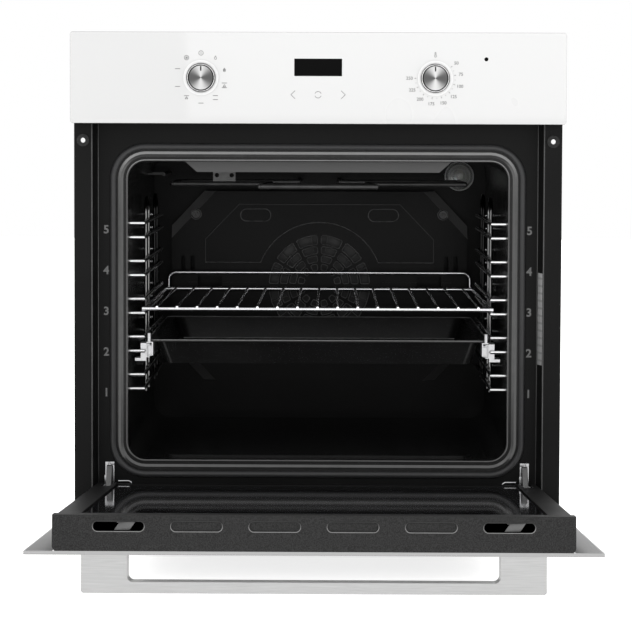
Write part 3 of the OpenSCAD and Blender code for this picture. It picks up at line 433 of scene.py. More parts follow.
foil = Finish("foil_label", grey(0.5), 0.4, 0.3)
foil_rows = foil.xyz()[2]
foil_fade = foil.noise(90, 3)
row = foil.node("Math", {0: foil_rows * 110}, operation="FRACT") > 0.72
foil.feed(Base_Color=foil.blend(row * 0.6, foil.blend(foil_fade, grey(0.42), grey(0.56)),
                                grey(0.25)), Roughness=0.35 + foil_fade * 0.1)
slope = math.atan2(recess, fold_x - foot_x)
label_w, label_t, label_h, label_z = 15 * MM, 0.3 * MM, 112 * MM, 0.249
label = sheet((-label_w / 2, -label_t / 2, -label_h / 2), (label_w / 2, label_t / 2, label_h / 2),
              0.12 * MM)
label.rotation_euler = (0, 0, -slope)
label.location = ((fold_x + foot_x) / 2 - 0.25 * MM, frame_low[1] + recess / 2 - 0.1 * MM, label_z)
settle(label, "rating_plate", foil, "carcass")

# ---- black mouldings --------------------------------------------------------------------------
# Fixing bushes in the flanges, the vented trim of the door and the terminal box: black moulded
# plastic with a coarse spark-eroded grain.
bush_plastic = Finish("black_moulding", grey(0.02), 0.55, Specular_IOR_Level=0.25)
grain = bush_plastic.noise(2600, 2)
pits = bush_plastic.ramp(bush_plastic.noise(900, 2), 0.35, 0.65)
bush_plastic.feed(Base_Color=bush_plastic.blend(pits, grey(0.003), grey(0.022)))
bush_plastic.bump(grain, 0.35, 0.0003)
bush_plastic.on("fixing_bushes", "door_top_trim", "terminal_box")

# ---- cavity -----------------------------------------------------------------------------------
# Steel wrap and back wall coated with dark grey vitreous enamel, fired on, with fine pale specks
# in the glaze and a slight orange peel. The front of the lip under the roof is painted lighter, a
# painted highlight.
enamel = Finish("speckled_enamel", grey(0.02), 0.2, Specular_IOR_Level=0.2)
speck = enamel.cells(520) < 0.13
mottle = enamel.noise(12, 4)
glaze = enamel.blend(mottle, grey(0.004), grey(0.012))
in_x, in_y, in_z = enamel.xyz()
lip_y = wrap_low[1] + 12 * MM     # front of the lip that hangs from the roof
lip_z, lip_half = 424 * MM, 175 * MM
# the lip's front face coloured light grey: painted highlight of the front light on its rounded edge
lip_highlight = (abs(in_y - lip_y) < 1 * MM) * (in_z > lip_z) * (abs(in_x) < lip_half)
flecked = enamel.blend(speck * 0.3, glaze, (0.2, 0.21, 0.22))
enamel.feed(Base_Color=enamel.blend(lip_highlight, flecked, grey(0.075)),
            Roughness=0.16 + mottle * 0.12)
enamel.bump(enamel.noise(110, 2), 0.1, 0.0008)
enamel.on("cavity_wrap", "baking_tray")

seal_low, seal_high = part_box("door_gasket")
seal_band = 8.4 * MM              # from the outside of the seal's box to the rolled rim
rim_size = (seal_high[0] - seal_low[0] - 2 * seal_band, seal_high[2] - seal_low[2] - 2 * seal_band)
rim_z = (seal_low[2] + seal_high[2]) / 2
# the beads are coloured light grey where they face up, and more so higher up: a painted highlight;
# elsewhere a dark tone
rim_highlight_paint = Finish("rim_enamel_painted_highlight", grey(0.05), 0.2, Specular_IOR_Level=0.6)
facing_up = rim_highlight_paint.node("SeparateXYZ", {0: rim_highlight_paint.node("NewGeometry", {}, out="Normal")}, out=2)
lit = rim_highlight_paint.ramp(facing_up, -0.1, 0.8) * (0.15 + rim_highlight_paint.ramp(rim_highlight_paint.xyz()[2], 0.38, 0.47))
unlit = rim_highlight_paint.blend(rim_highlight_paint.noise(60, 3), grey(0.02), grey(0.05))
rim_highlight_paint.feed(Base_Color=rim_highlight_paint.blend(lit, unlit, grey(0.5)))
rim_corner = 35
rolled = []
for inward, thick, proud in ((4.8, 5, 1.3), (12.4, 1.2, 0.9)):     # the broad crown, the edge inside it
    size = [length - 2 * inward * MM for length in rim_size]
    rolled.append(bead((0, plate_y + (thick - proud) * MM, rim_z), size, (rim_corner - inward) * MM,
                       thick * MM))
settle(joined(rolled), "cavity_rim_beads", rim_highlight_paint, "carcass")

# ---- door seal --------------------------------------------------------------------------------
# A tubular silicone seal pressed into the channel around the cavity's mouth.
silicone = Finish("silicone_seal", (0.018, 0.018, 0.019), 0.5)
silicone.feed(Roughness=0.42 + silicone.noise(60) * 0.2)
silicone.bump(silicone.noise(1500), 0.2, 0.0002)
silicone.on("door_gasket")

# ---- fan cover --------------------------------------------------------------------------------
# Pressed and enamelled black cover over the convection fan and its ring heater. Its tilted corner
# facets are painted lighter than the rest, a painted highlight.
black_enamel = Finish("black_enamel", grey(0.004), 0.3, Specular_IOR_Level=0.1)
cloudy = black_enamel.noise(10, 4)
fleck = black_enamel.cells(640) < 0.09
facing = black_enamel.node("SeparateXYZ", {0: black_enamel.node("NewGeometry", {}, out="Normal")}, out=0)
tilted = (abs(facing) > 0.15) * (abs(facing) < 0.6)
cover_tone = black_enamel.blend(cloudy, grey(0.002), grey(0.006))
flat_tone = black_enamel.blend(fleck * 0.3, cover_tone, grey(0.1))
# facets tilted to the side coloured lighter: painted highlight
slope_painted_highlight = black_enamel.blend(cloudy, grey(0.03), grey(0.16))
black_enamel.feed(Base_Color=black_enamel.blend(tilted, flat_tone, slope_painted_highlight),
                  Roughness=0.26 + cloudy * 0.14)
black_enamel.bump(black_enamel.noise(120, 2), 0.12, 0.0008)
black_enamel.on("fan_cover", "cavity_back")

# pressed edges of the cover, drawn in a lighter grey as a painted highlight: the intake slots, the
# two oblong recesses, the boss round the intake and the shoulders of the raised middle
pressed_edge_highlight = Finish("painted_highlight_enamel", grey(0.12), 0.25, Specular_IOR_Level=0.6)
pressed_edge_highlight.feed(Base_Color=pressed_edge_highlight.blend(pressed_edge_highlight.noise(220, 4), grey(0.05), grey(0.2)))
cover_low, cover_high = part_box("fan_cover")
fan_z = (cover_low[2] + cover_high[2]) / 2 + 1 * MM
boss_y = cover_low[1]


def rod(points, thick, closed=True):
    """A thin round rod along points on the cover's face, which lie in one upright plane."""
    bpy.ops.object.select_all(action="DESELECT")
    bpy.ops.mesh.primitive_circle_add(vertices=len(points), radius=1)
    path = bpy.context.object
    for vertex, (x, y, z) in zip(path.data.vertices, points):
        vertex.co = (x, y, z)
    if not closed:
        bpy.ops.object.mode_set(mode="EDIT")
        bpy.ops.mesh.select_all(action="DESELECT")
        bpy.ops.mesh.select_mode(type="EDGE")
        bpy.ops.object.mode_set(mode="OBJECT")
        ends = {0, len(points) - 1}
        for line in path.data.edges:
            line.select = set(line.vertices) == ends
        bpy.ops.object.mode_set(mode="EDIT")
        bpy.ops.mesh.delete(type="EDGE")
        bpy.ops.object.mode_set(mode="OBJECT")
    bpy.ops.object.convert(target="CURVE")
    path.data.bevel_depth = thick
    path.data.bevel_resolution = 1
    path.data.use_fill_caps = True
    bpy.ops.object.convert(target="MESH")
    return path


def slot_edge(inner, outer, first, last, y):
    """Outline of one curved slot between two radii and two angles, its corners eased."""
    corner = 1.6 * MM
    ease = math.degrees(corner / outer)
    turns = [math.radians(first + ease + (last - first - 2 * ease) * i / 8) for i in range(9)]
    points = [(outer * math.cos(a), y, fan_z + outer * math.sin(a)) for a in turns]
    for edge_angle in (math.radians(last), math.radians(first)):
        near = [(r * math.cos(edge_angle), y, fan_z + r * math.sin(edge_angle))
                for r in (outer - corner, inner + corner)]
        if edge_angle == math.radians(last):
            points += near
            points += [(inner * math.cos(a), y, fan_z + inner * math.sin(a)) for a in reversed(turns)]
        else:
            points += near[::-1]
    return points


def ring(middle, radius, thick, segments):
    """A round ring that faces the front."""
    bpy.ops.object.select_all(action="DESELECT")
    bpy.ops.mesh.primitive_torus_add(major_radius=radius, minor_radius=thick, major_segments=segments,
                                     minor_segments=8, location=middle, rotation=FRONT)
    return bpy.context.object


half_bar = 2.6              # half the width of a bar between two slots
edges = []
for inner, outer in ((57.5, 70), (44.5, 54.5), (33, 41.5), (21.5, 30)):
    bar = math.degrees(math.asin(half_bar / ((inner + outer) / 2)))
    for sector in range(12):
        outline = slot_edge(inner * MM, outer * MM, 30 * sector + bar, 30 * sector + 30 - bar,
                            boss_y - 0.1 * MM)
        edges.append(rod(outline, 0.75 * MM))
oblong_x, oblong_size, oblong_drop = 89 * MM, (42 * MM, 17 * MM), 33 * MM
for side in (-1, 1):
    edges.append(bead((side * oblong_x, cover_low[1] - 0.1 * MM, cover_high[2] - oblong_drop),
                      oblong_size, 8.4 * MM, 0.8 * MM))
# outline of the raised middle: a crown round the intake, a ledge on each side, and the shoulders
boss_r, ledge, shoulder_z, top_rise, shoulder_in = 88, 32, 64, 113, 47
line_y, line_r = boss_y + 0.3 * MM, 0.7 * MM
shoulder_x = cover_high[0] - shoulder_in * MM
start = math.asin(ledge / boss_r)
crown = [(boss_r * MM * math.cos(a), line_y, fan_z + boss_r * MM * math.sin(a))
         for a in (start + (math.pi - 2 * start) * i / 24 for i in range(25))]
ledge_ends = [(side * shoulder_x, line_y, fan_z + ledge * MM) for side in (1, -1)]
edges.append(rod([ledge_ends[0], *crown, ledge_ends[1]], line_r, closed=False))
half_outline = [(shoulder_x, ledge), (shoulder_x, shoulder_z), (shoulder_x - shoulder_in * MM, top_rise)]
shoulder = half_outline + [(-x, z) for x, z in reversed(half_outline)]
# the shoulders' outline, coloured a little lighter than the cover: a dimmer painted highlight
shoulder_highlight_paint = Finish("shoulder_painted_highlight", grey(0.02), 0.3, Specular_IOR_Level=0.3)
shoulder_highlight_paint.feed(Base_Color=shoulder_highlight_paint.blend(shoulder_highlight_paint.noise(90, 4), grey(0.012),
                                                    grey(0.035)))
settle(rod([(x, line_y, fan_z + z * MM) for x, z in shoulder], line_r, closed=False),
       "fan_cover_shoulders", shoulder_highlight_paint, "carcass")
screw_low, screw_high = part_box("fan_cover_screws")
screw_x, screw_z = screw_high[0] - 5.5 * MM, (screw_low[2] + screw_high[2]) / 2
for side in (-1, 1):
    for ring_r, proud in ((7.2, 0), (2.2, 0.3)):
        edges.append(ring((side * screw_x, screw_low[1] - proud * MM, screw_z), ring_r * MM,
                          0.7 * MM, 28))
settle(joined(edges), "fan_cover_edges", pressed_edge_highlight, "carcass")

# ---- fans and motors --------------------------------------------------------------------------
# The convection fan is pressed from aluminised sheet, coloured near black as painted shade behind
# the cover. The motors and the hinges' springs are plain oiled steel.
fan_alloy_shaded = Finish("aluminised_sheet_painted_shade", grey(0.035), 0.4, 0.9)
fan_alloy_shaded.feed(Roughness=0.32 + fan_alloy_shaded.noise(40) * 0.2)
fan_alloy_shaded.on("convection_fan")

motor_steel = Finish("motor_steel", grey(0.14), 0.5, 0.6)
motor_steel.feed(Base_Color=motor_steel.blend(motor_steel.noise(30), grey(0.09), grey(0.2)))
motor_steel.on("fan_motor", "cooling_fan_motor", "hinge_springs")

# ---- heaters ----------------------------------------------------------------------------------
# Tubular elements with an alloy sheath that firing has turned dark and matt.
sheath = Finish("heater_sheath", grey(0.06), 0.4, 0.6)
scale_colour = sheath.noise(35, 5)
sheath.feed(Base_Color=sheath.blend(scale_colour, grey(0.03), grey(0.1)),
            Roughness=0.34 + scale_colour * 0.2)
sheath.bump(sheath.noise(800), 0.2, 0.0002)
sheath.on("ring_heater", "grill_element", "bottom_heater", "fan_cover_screws", "thermostat_probe")

# ---- oven lamp --------------------------------------------------------------------------------
# A screw-in dome of clear pressed glass over a small bulb in a ceramic holder.
dome_glass = Finish("pressed_glass", (0.93, 0.95, 0.95), 0.06, Transmission_Weight=0.85, IOR=1.47)
dome_glass.bump(dome_glass.noise(90, 2), 0.25, 0.001)
dome_glass.on("lamp_glass")
lamp_low, lamp_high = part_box("lamp_glass")
lamp_x, lamp_z = ((lamp_low[i] + lamp_high[i]) / 2 for i in (0, 2))
ribs = []
dome_y = lamp_high[1] - 10 * MM
for rib_r, proud in ((19.6, 5.4), (14.5, 8.6), (9.5, 10.6), (4.5, 11.8)):
    ribs.append(ring((lamp_x, dome_y - proud * MM, lamp_z), rib_r * MM, 0.9 * MM, 40))
rib_glass = Finish("ribbed_glass", grey(0.5), 0.12, Specular_IOR_Level=0.8)
rib_glass.feed(Base_Color=rib_glass.blend(rib_glass.noise(200), grey(0.35), grey(0.6)))
settle(joined(ribs), "lamp_glass_ribs", rib_glass, "carcass")
frosted = Finish("frosted_bulb", (0.86, 0.84, 0.78), 0.35, Subsurface_Weight=0.2)
frosted.feed(Base_Color=frosted.blend(frosted.noise(80), (0.8, 0.78, 0.72), (0.92, 0.9, 0.84)))
frosted.on("lamp_bulb")
ceramic = Finish("steatite", (0.8, 0.79, 0.75), 0.6)
ceramic.feed(Base_Color=ceramic.blend(ceramic.noise(90, 4), (0.7, 0.69, 0.65), (0.86, 0.85, 0.81)))
ceramic.on("lamp_housing", "function_selector", "thermostat")

# ---- side racks and wire shelf ----------------------------------------------------------------
# Round steel wire, welded and bright chrome plated. The racks are coloured darker than chrome,
# near black towards the rear as painted shade deep in the cavity.
chrome = Finish("bright_chrome", (0.78, 0.78, 0.8), 0.12, 1.0)
haze = chrome.noise(45, 4)
chrome.feed(Base_Color=chrome.blend(haze, (0.66, 0.66, 0.68), (0.86, 0.86, 0.88)),
            Roughness=0.07 + haze * 0.14)
chrome.on("wire_shelf", "shelf_guard")
rack_chrome = Finish("rack_chrome", grey(0.6), 0.16, 1.0)
rack_x, rack_y, _ = rack_chrome.xyz()
upright_x0, upright_x1 = 216.3 * MM, 221 * MM      # the racks' front uprights stay bright
upright = (abs(rack_x) > upright_x0) * (abs(rack_x) < upright_x1) * (rack_y > -200 * MM)
# wire towards the back of the cavity coloured near black: painted shade
rear_shade = rack_y > -60 * MM
rack_haze = rack_chrome.noise(60, 4)
dulled = rack_chrome.blend(rack_haze, grey(0.1), grey(0.25))
dulled_and_rear_shade = rack_chrome.blend(rear_shade, dulled, grey(0.02))
rack_chrome.feed(Base_Color=rack_chrome.blend(upright, (0.75, 0.75, 0.76), dulled_and_rear_shade),
                 Roughness=0.1 + rack_haze * 0.14)
rack_chrome.on("side_rack_left", "side_rack_right")

# ---- telescopic runners -----------------------------------------------------------------------
# Roll-formed, zinc-plated channels that run in one another on balls, clipped to the rack.
zinc.on("runner_clips", "runner_fixed_rails", "runner_middles", "runner_slides", "function_spindle",
        "temperature_spindle", "handle_screws")

# ---- baking tray ------------------------------------------------------------------------------
# Deep enamelled tray: its rolled rim and the folds of its rear wall are drawn as lighter lines, a
# painted highlight.
tray_low, tray_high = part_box("baking_tray")
tray_mid_y = (tray_low[1] + tray_high[1]) / 2
tray_edge_highlight = Finish("tray_edge_highlight", grey(0.2), 0.22, Specular_IOR_Level=0.7)
tray_edge_highlight.feed(Base_Color=tray_edge_highlight.blend(tray_edge_highlight.noise(80, 3), grey(0.12), grey(0.26)))
rim_w, rim_l = (tray_high[i] - tray_low[i] - 3 * MM for i in (0, 1))
tray_highlight_lines = [bead((0, tray_mid_y, tray_high[2]), (rim_w, rim_l), 10 * MM, 0.8 * MM, LEVEL)]
floor_z, wall_y, corner_x, fold_r = tray_low[2] + 2.6 * MM, 96 * MM, 189 * MM, 0.9 * MM
wall_slope = 2.6            # rise of the tray's wall for each step outwards
tray_highlight_lines.append(rod([(x * corner_x, wall_y, floor_z) for x in (-1, -0.3, 0.3, 1)], fold_r, closed=False))
for side in (-1, 1):
    tray_highlight_lines.append(rod([(side * (corner_x + out), wall_y + out, floor_z + out * wall_slope)
                     for out in (0, 3 * MM, 6 * MM, 9.5 * MM)], fold_r, closed=False))
settle(joined(tray_highlight_lines), "tray_rim_edge", tray_edge_highlight, "tray_carriage")

# ---- control panel ----------------------------------------------------------------------------
# Float glass, back-painted white, on a black carrier. Signs and numbers are fired on in grey ink,
# and its edge is ground.
white_glass = Finish("white_glass", grey(0.62), 0.28, Coat_Weight=1.0, Coat_Roughness=0.03)
smudge = white_glass.noise(7, 2)
white_glass.feed(Base_Color=white_glass.blend(smudge, grey(0.617), grey(0.624)),
                 Roughness=0.24 + smudge * 0.1)
white_glass.on("control_panel_glass")

front_y = panel_low[1]
knob_low, knob_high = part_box("function_knob")
knob_x = -(knob_low[0] + knob_high[0]) / 2
knob_z = (knob_low[2] + knob_high[2]) / 2
ink = Finish("fired_ink", grey(0.2), 0.5)
ink.feed(Base_Color=ink.blend(ink.noise(400), grey(0.1), grey(0.18)))
line_w = 0.65 * MM


def stroke(x0, z0, x1, z1, width=line_w):
    """A printed line, a flat strip between two points of the panel's face."""
    bpy.ops.object.select_all(action="DESELECT")
    bpy.ops.mesh.primitive_plane_add(size=1, location=((x0 + x1) / 2, front_y, (z0 + z1) / 2),
                                     rotation=(math.pi / 2, -math.atan2(z1 - z0, x1 - x0), 0))
    strip = bpy.context.object
    strip.scale = (math.hypot(x1 - x0, z1 - z0), width, 1)
    return strip


def printed(strokes, name, finish):
    """Joins flat strips and draws them out to the thickness of a print."""
    piece = joined(strokes)
    bpy.ops.object.transform_apply(location=True, rotation=True, scale=True)
    bpy.ops.object.mode_set(mode="EDIT")
    bpy.ops.mesh.select_all(action="SELECT")
    bpy.ops.mesh.extrude_region_move(TRANSFORM_OT_translate={"value": (0, -0.08 * MM, 0)})
    bpy.ops.mesh.select_all(action="SELECT")
    bpy.ops.mesh.normals_make_consistent(inside=False)
    bpy.ops.object.mode_set(mode="OBJECT")
    return settle(piece, name, finish, "carcass", smooth=False)


def polyline(points):
    return [stroke(*a, *b) for a, b in zip(points, points[1:])]


def arc(x, z, radius, first, last, steps):
    angles = [math.radians(first + (last - first) * i / steps) for i in range(steps + 1)]
    return polyline([(x + radius * math.cos(a), z + radius * math.sin(a)) for a in angles])


marks = []
# cooking functions round the left knob, every 36 degrees from the top
bar_at = {2: (1.5,), 3: (-1.5,), 4: (2.2,), 5: (-1.0,), 6: (2.4, -2.4), 7: (2.8, -2.8)}
sign_r = 29.5 * MM
for step in range(10):
    angle = math.radians(90 + 36 * step)
    x = -knob_x + sign_r * math.cos(angle)
    z = knob_z + sign_r * math.sin(angle)
    for height in bar_at.get(step, ()):
        marks.append(stroke(x - 3 * MM, z + height * MM, x + 3 * MM, z + height * MM, 0.8 * MM))
    if step in (0, 1):
        marks += arc(x, z, 2.7 * MM, 0, 360, 14)
        marks += [stroke(x, z - 1.4 * MM, x, z + 1.4 * MM)]
    if step in (1, 8):
        marks += [stroke(x - 1.5 * MM, z - 1 * MM, x + 1.5 * MM, z + 1 * MM),
                  stroke(x - 1.5 * MM, z + 1 * MM, x + 1.5 * MM, z - 1 * MM)]
    if step in (4, 7):
        marks += polyline([(x - 1.6 * MM, z - 1.6 * MM), (x, z + 1 * MM), (x + 1.6 * MM, z - 1.6 * MM),
                           (x - 1.6 * MM, z - 1.6 * MM)])
    if step in (8, 9):
        marks += polyline([(x - 1.3 * MM, z - 0.4 * MM), (x, z + 2.4 * MM),
                           (x + 1.3 * MM, z - 0.4 * MM)])
        marks += arc(x, z - 0.6 * MM, 1.35 * MM, 180, 360, 7)
# temperature scale round the right knob: 50 to 250 from upper right clockwise to the left
numerals = []
for step in range(17):
    angle = math.radians(36 - 13.5 * step)
    inner, outer = (22.8, 25) if step % 2 == 0 else (23.4, 24.2)
    c, d = math.cos(angle) * MM, math.sin(angle) * MM
    marks.append(stroke(knob_x + inner * c, knob_z + inner * d, knob_x + outer * c, knob_z + outer * d))
    if step % 2 == 0:
        spot = (knob_x + 31 * c, front_y, knob_z + 31 * d)
        numerals.append(number(50 + 25 * (step // 2), spot, 5.4 * MM, 0.05 * MM, 0.08 * MM))
marks += arc(knob_x, knob_z + 26.6 * MM, 1.2 * MM, 120, 420, 10)
marks += polyline([(knob_x - 0.6 * MM, knob_z + 27.6 * MM), (knob_x - 0.6 * MM, knob_z + 31 * MM),
                   (knob_x + 0.6 * MM, knob_z + 31 * MM), (knob_x + 0.6 * MM, knob_z + 27.6 * MM)])
# touch keys under the display
key_z, arrow_x, arrow_tip, arrow_h = panel_low[2] + 34.5 * MM, 27.6 * MM, 32.6 * MM, 4.9 * MM
for side in (-1, 1):
    marks += polyline([(side * arrow_x, key_z + arrow_h), (side * arrow_tip, key_z),
                       (side * arrow_x, key_z - arrow_h)])
    marks += arc(0, key_z, 3.9 * MM, 90 * side - 70, 90 * side + 70, 7)
printed(marks, "panel_symbols", ink)

# ground edge of the panel's glass
ground = Finish("ground_edge", grey(0.3), 0.4)
ground.feed(Base_Color=ground.blend(ground.noise(90), grey(0.25), grey(0.36)))
edge_size = [panel_high[i] - panel_low[i] - 0.8 * MM for i in (0, 2)]
settle(bead((0, front_y + 0.9 * MM, (panel_low[2] + panel_high[2]) / 2), edge_size, 2 * MM, 0.75 * MM),
       "panel_glass_edge", ground, "carcass")
settle(joined(numerals), "temperature_numbers", ink, "carcass", smooth=False)

# ---- display window and indicator -------------------------------------------------------------
# Smoked window over the clock's display, and the small domed lens of the heating indicator.
smoked = Finish("smoked_window", grey(0.002), 0.3, Specular_IOR_Level=0.03)
smoked.feed(Roughness=0.16 + smoked.noise(60) * 0.1)
window_z, window_w, window_h = panel_low[2] + 67.2 * MM, 57 * MM, 20.6 * MM
window = bead((0, front_y, window_z), (window_w, window_h), 0.5 * MM, 0.15 * MM)
window_fill = stroke(-window_w / 2, window_z, window_w / 2, window_z, window_h)
settle(window, "display_window_edge", smoked, "carcass")
printed([window_fill], "display_window", smoked)

lens_low, lens_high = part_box("indicator_lamp")
bpy.ops.object.select_all(action="DESELECT")
lens_x, lens_z = ((lens_low[i] + lens_high[i]) / 2 for i in (0, 2))
bpy.ops.mesh.primitive_uv_sphere_add(segments=24, ring_count=12, radius=2.4 * MM,
                                     location=(lens_x, front_y, lens_z))
lens = bpy.context.object
lens.scale = (1, 0.35, 1)
bpy.ops.object.transform_apply(scale=True)
bpy.ops.object.mode_set(mode="EDIT")
bpy.ops.mesh.select_all(action="SELECT")
bpy.ops.mesh.bisect(plane_co=(lens.location.x, front_y + 0.2 * MM, lens.location.z),
                    plane_no=(0, 1, 0), clear_outer=True, use_fill=True)
bpy.ops.object.mode_set(mode="OBJECT")
settle(lens, "indicator_lens", smoked, "carcass")

white_moulding = Finish("white_moulding", grey(0.74), 0.3)
white_moulding.feed(Roughness=0.24 + white_moulding.noise(120) * 0.14)
white_moulding.on("knob_bezels", "cooling_fan_wheel")

display_black = Finish("display_black", (0.006, 0.006, 0.007), 0.1, Coat_Weight=1.0, Coat_Roughness=0.02)
display_black.feed(Roughness=0.06 + display_black.noise(80) * 0.1)
display_black.on("display_module")
lens_red = Finish("lamp_lens", (0.3, 0.02, 0.02), 0.2)
lens_red.feed(Roughness=0.15 + lens_red.noise(200) * 0.1)
lens_red.on("indicator_lamp")

# ---- knobs ------------------------------------------------------------------------------------
# Turned aluminium knobs: a spun-brushed face in a chromed skirt. The face is coloured lighter above
# and below its middle and darker to the sides, a painted highlight of the spun finish.
knob_metal = Finish("spun_aluminium_painted_highlight", grey(0.5), 0.25, 1.0)
at_x, _, at_z = knob_metal.xyz()
across = abs(abs(at_x) - knob_x)
up = at_z - knob_z
from_axis = knob_metal.node("Math", {0: across * across + up * up, 1: 0.5}, operation="POWER")
painted_conic_highlight = (up * up) / (across * across + up * up + 1e-9)
skirt = from_axis > 15.3 * MM
turned = knob_metal.node("CombineXYZ", {0: from_axis * 1000})
spin = knob_metal.node("TexWave", {"Vector": turned, "Scale": 2.2}, out="Fac")
knob_metal.feed(
    Base_Color=knob_metal.blend(skirt, knob_metal.blend(painted_conic_highlight ** 1.6, grey(0.09),
                                                        grey(0.55)), grey(0.6)),
    Roughness=0.3 - skirt * 0.2)
knob_metal.bump(spin, 0.15, 0.0001)
knob_metal.on("function_knob", "temperature_knob")

for side, name in ((-1, "function"), (1, "temperature")):
    body = name + "_knob_body"
    face_y = knob_low[1]
    x, z = side * knob_x, knob_z + 11 * MM
    pointer = sheet((x - 0.8 * MM, face_y - 0.15 * MM, z - 2.8 * MM),
                    (x + 0.8 * MM, face_y + 0.15 * MM, z + 2.8 * MM), 0.12 * MM)
    settle(pointer, name + "_pointer", smoked, body)
    rings = [ring((x, face_y + ring_y * MM, knob_z), ring_r * MM, thick * MM, 64)
             for ring_r, ring_y, thick in ((14.9, 0.45, 0.75), (16.9, 1.6, 0.5))]
    settle(joined(rings), name + "_knob_rings", smoked, body)
    settle(ring((x, front_y - 0.1 * MM, knob_z), 20.4 * MM, 0.5 * MM, 64), name + "_bezel_edge", ground,
           "carcass")

# ---- door -------------------------------------------------------------------------------------
# Heat-reflecting inner panes in a black steel inner frame behind the white outer glass.
dark_pane = Finish("heat_glass", (0.006, 0.006, 0.007), 0.04, Specular_IOR_Level=0.5)
film = dark_pane.noise(8, 4)
dark_pane.feed(Roughness=0.03 + film * 0.05)
dark_pane.on("door_inner_glass", "door_middle_glass")

hinge = next(j for j in frame["joints"] if j["name"] == "door_hinge")
hinge_pin = Vector(hinge["pos_m"])
door_open = -math.radians(hinge["range_deg"][0])
swing = (Matrix.Translation(hinge_pin) @ Matrix.Rotation(door_open, 4, "X")
         @ Matrix.Translation(-hinge_pin))


def swung(piece):
    """Turns a piece made on the closed door to where the open door has it."""
    bpy.ops.object.select_all(action="DESELECT")
    piece.select_set(True)
    bpy.context.view_layer.objects.active = piece
    bpy.ops.object.transform_apply(location=True, rotation=True, scale=True)
    piece.matrix_world = swing
    return piece


door_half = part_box("door_outer_glass")[1][0]
door_z0, door_z1 = 9 * MM, panel_low[2] - 4 * MM
glass_back = front_y + 4 * MM
back_paint = Finish("back_paint", grey(0.16), 0.4)
back_paint.feed(Base_Color=back_paint.blend(back_paint.noise(25), grey(0.15), grey(0.175)))
door_glass = Finish("door_glass", grey(0.62), 0.28, Coat_Weight=1.0, Coat_Roughness=0.03)
door_smudge = door_glass.noise(7, 2)
outer_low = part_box("door_outer_glass")[0]
top_edge = door_glass.xyz()[1] < outer_low[1] + 1.2 * MM     # the ground edge, a little grey
door_tone = door_glass.blend(door_smudge, grey(0.557), grey(0.564))
door_glass.feed(Base_Color=door_glass.blend(top_edge, door_tone, grey(0.29)),
                Roughness=0.24 + door_smudge * 0.1)
door_glass.on("door_outer_glass")
inner_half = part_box("door_top_trim")[1][0]
paint = [sheet((side * (door_half - 1.5 * MM), glass_back - 0.05 * MM, door_z0 + 1.5 * MM),
               (side * inner_half, glass_back + 0.15 * MM, door_z1 - 1.5 * MM), 0.05 * MM)
         for side in (-1, 1)]
settle(swung(joined(paint)), "door_glass_back_paint", back_paint, "door")

# tinted window in the middle of the outer glass, framed by a printed border
pane_tint = Finish("tinted_window", (0.012, 0.012, 0.013), 0.05, Coat_Weight=0.5, Coat_Roughness=0.02)
pane_tint.feed(Roughness=0.04 + pane_tint.noise(12) * 0.04)
view_half, view_z0, view_z1 = 0.195, 0.105, 0.385
view = sheet((-view_half, front_y - 0.12 * MM, view_z0), (view_half, front_y + 0.02 * MM, view_z1),
             0.04 * MM)
border = bead((0, front_y, (view_z0 + view_z1) / 2), (2 * view_half, view_z1 - view_z0), 4 * MM,
              0.12 * MM)
settle(swung(joined([view, border])), "door_window", pane_tint, "door")

# brackets behind the two end slots of the trim
slot_pitch, slot_size, slot_off = 79.7 * MM, (53 * MM, 10.7 * MM), 6.8 * MM
slot_y = (glass_back + plate_y - 1 * MM) / 2 + slot_off
half_w, half_d = 8 * MM, 4.2 * MM
brackets = []
for side in (-1, 1):
    x = side * 2.5 * slot_pitch + 6 * MM
    strip = sheet((x - half_w, slot_y - half_d, door_z1 - 5 * MM),
                  (x + half_w, slot_y + half_d, door_z1 - 3.8 * MM))
    for vertex in strip.data.vertices:      # its ends are cut on the slant
        vertex.co.x += (strip.location.y + vertex.co.y - slot_y) * 0.7
    brackets.append(strip)
    brackets.append(sheet((x - half_w, slot_y + half_d - 1 * MM, door_z1 - 16 * MM),
                          (x + half_w, slot_y + half_d, door_z1 - 5 * MM)))
dull_zinc = Finish("dull_zinc", grey(0.12), 0.45, 0.4)
dull_zinc.feed(Base_Color=dull_zinc.blend(dull_zinc.noise(120, 4), grey(0.08), grey(0.15)))
settle(swung(joined(brackets)), "trim_brackets", dull_zinc, "door")
dull_zinc.on("hinge_arms", "grill_bracket")
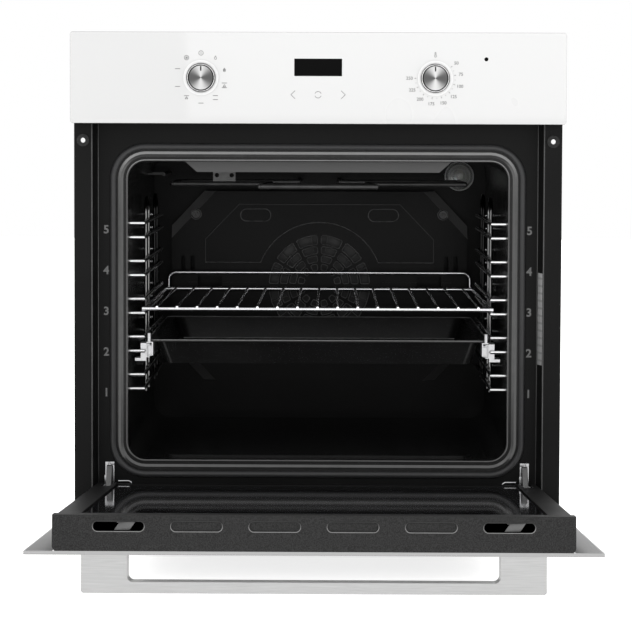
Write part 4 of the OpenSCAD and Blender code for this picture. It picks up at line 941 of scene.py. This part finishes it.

# rims of the six slots, four of them blind, where the texture is worn smooth; their lower side is
# painted light as a painted highlight and their upper side near black as painted shade
rims = []
for step in (-1.5, -0.5, 0.5, 1.5, -2.5, 2.5):
    rims.append(bead((step * slot_pitch, slot_y, door_z1), slot_size, 5.3 * MM, 0.45 * MM, LEVEL))
slot_rim_light_paint = Finish("slot_rim_painted_light", grey(0.1), 0.4)
shade = slot_rim_light_paint.ramp(slot_rim_light_paint.xyz()[2], 78 * MM, 72 * MM)      # the outer side catches the light
rim_highlight_tone = slot_rim_light_paint.blend(slot_rim_light_paint.noise(150, 3), grey(0.12), grey(0.22))
slot_rim_light_paint.feed(Base_Color=slot_rim_light_paint.blend(shade, grey(0.008), rim_highlight_tone))
settle(swung(joined(rims)), "trim_slot_rims", slot_rim_light_paint, "door")

# ---- hinge plates -----------------------------------------------------------------------------
# Plated receptacle faces at the foot of the frame, each with a slot for the hinge's arm, a catch
# that swings over it and a rivet at the top, and a wire clip beside each for the cavity's wrap.
hinge_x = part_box("hinge_arms")[1][0] - 3 * MM
hinge_y = plate_y - 0.2 * MM
strip_z0, strip_z1, head_z0, head_z1 = 40 * MM, 68.5 * MM, 66.3 * MM, 70.5 * MM
catch_z0, catch_z1, rivet_z = 44 * MM, 54.5 * MM, 68.4 * MM
clip_x = 236 * MM
clip = [(8, 41), (-5, 41), (-7.6, 42.4), (-8.4, 44), (-7.6, 45.6), (-5, 47), (8, 47)]     # its bent wire
plates = []
for side in (-1, 1):
    x = side * hinge_x
    for strip_x in (x - 4.6 * MM, x + 4.6 * MM):
        plates.append(sheet((strip_x - 0.9 * MM, hinge_y - 0.7 * MM, strip_z0),
                            (strip_x + 0.9 * MM, hinge_y, strip_z1)))
    plates.append(sheet((x - 5.5 * MM, hinge_y - 0.75 * MM, head_z0), (x + 5.5 * MM, hinge_y, head_z1)))
    plates.append(sheet((x - 6.4 * MM, hinge_y - 3.4 * MM, catch_z0),
                        (x - 3.2 * MM, hinge_y - 0.5 * MM, catch_z1), 0.5 * MM))
    plates.append(ring((x, hinge_y - 0.9 * MM, rivet_z), 1.5 * MM, 0.6 * MM, 20))
    plates.append(rod([(side * (clip_x + out * MM), hinge_y - 0.6 * MM, high * MM) for out, high in clip],
                      0.8 * MM, closed=False))
settle(joined(plates), "hinge_plates", zinc, "carcass")

# ---- handle -----------------------------------------------------------------------------------
# Bent and welded steel strip, brushed lengthways, held by two screws through the door's glass.
brushed = Finish("brushed_steel", grey(0.6), 0.32, 1.0)
lines = brushed.noise(60, 5, (0.6, 40, 40))
brushed.feed(Base_Color=brushed.blend(lines, grey(0.3), grey(0.54)),
             Roughness=0.24 + lines * 0.2)
brushed.bump(lines, 0.15, 0.0002)
brushed.on("door_handle")
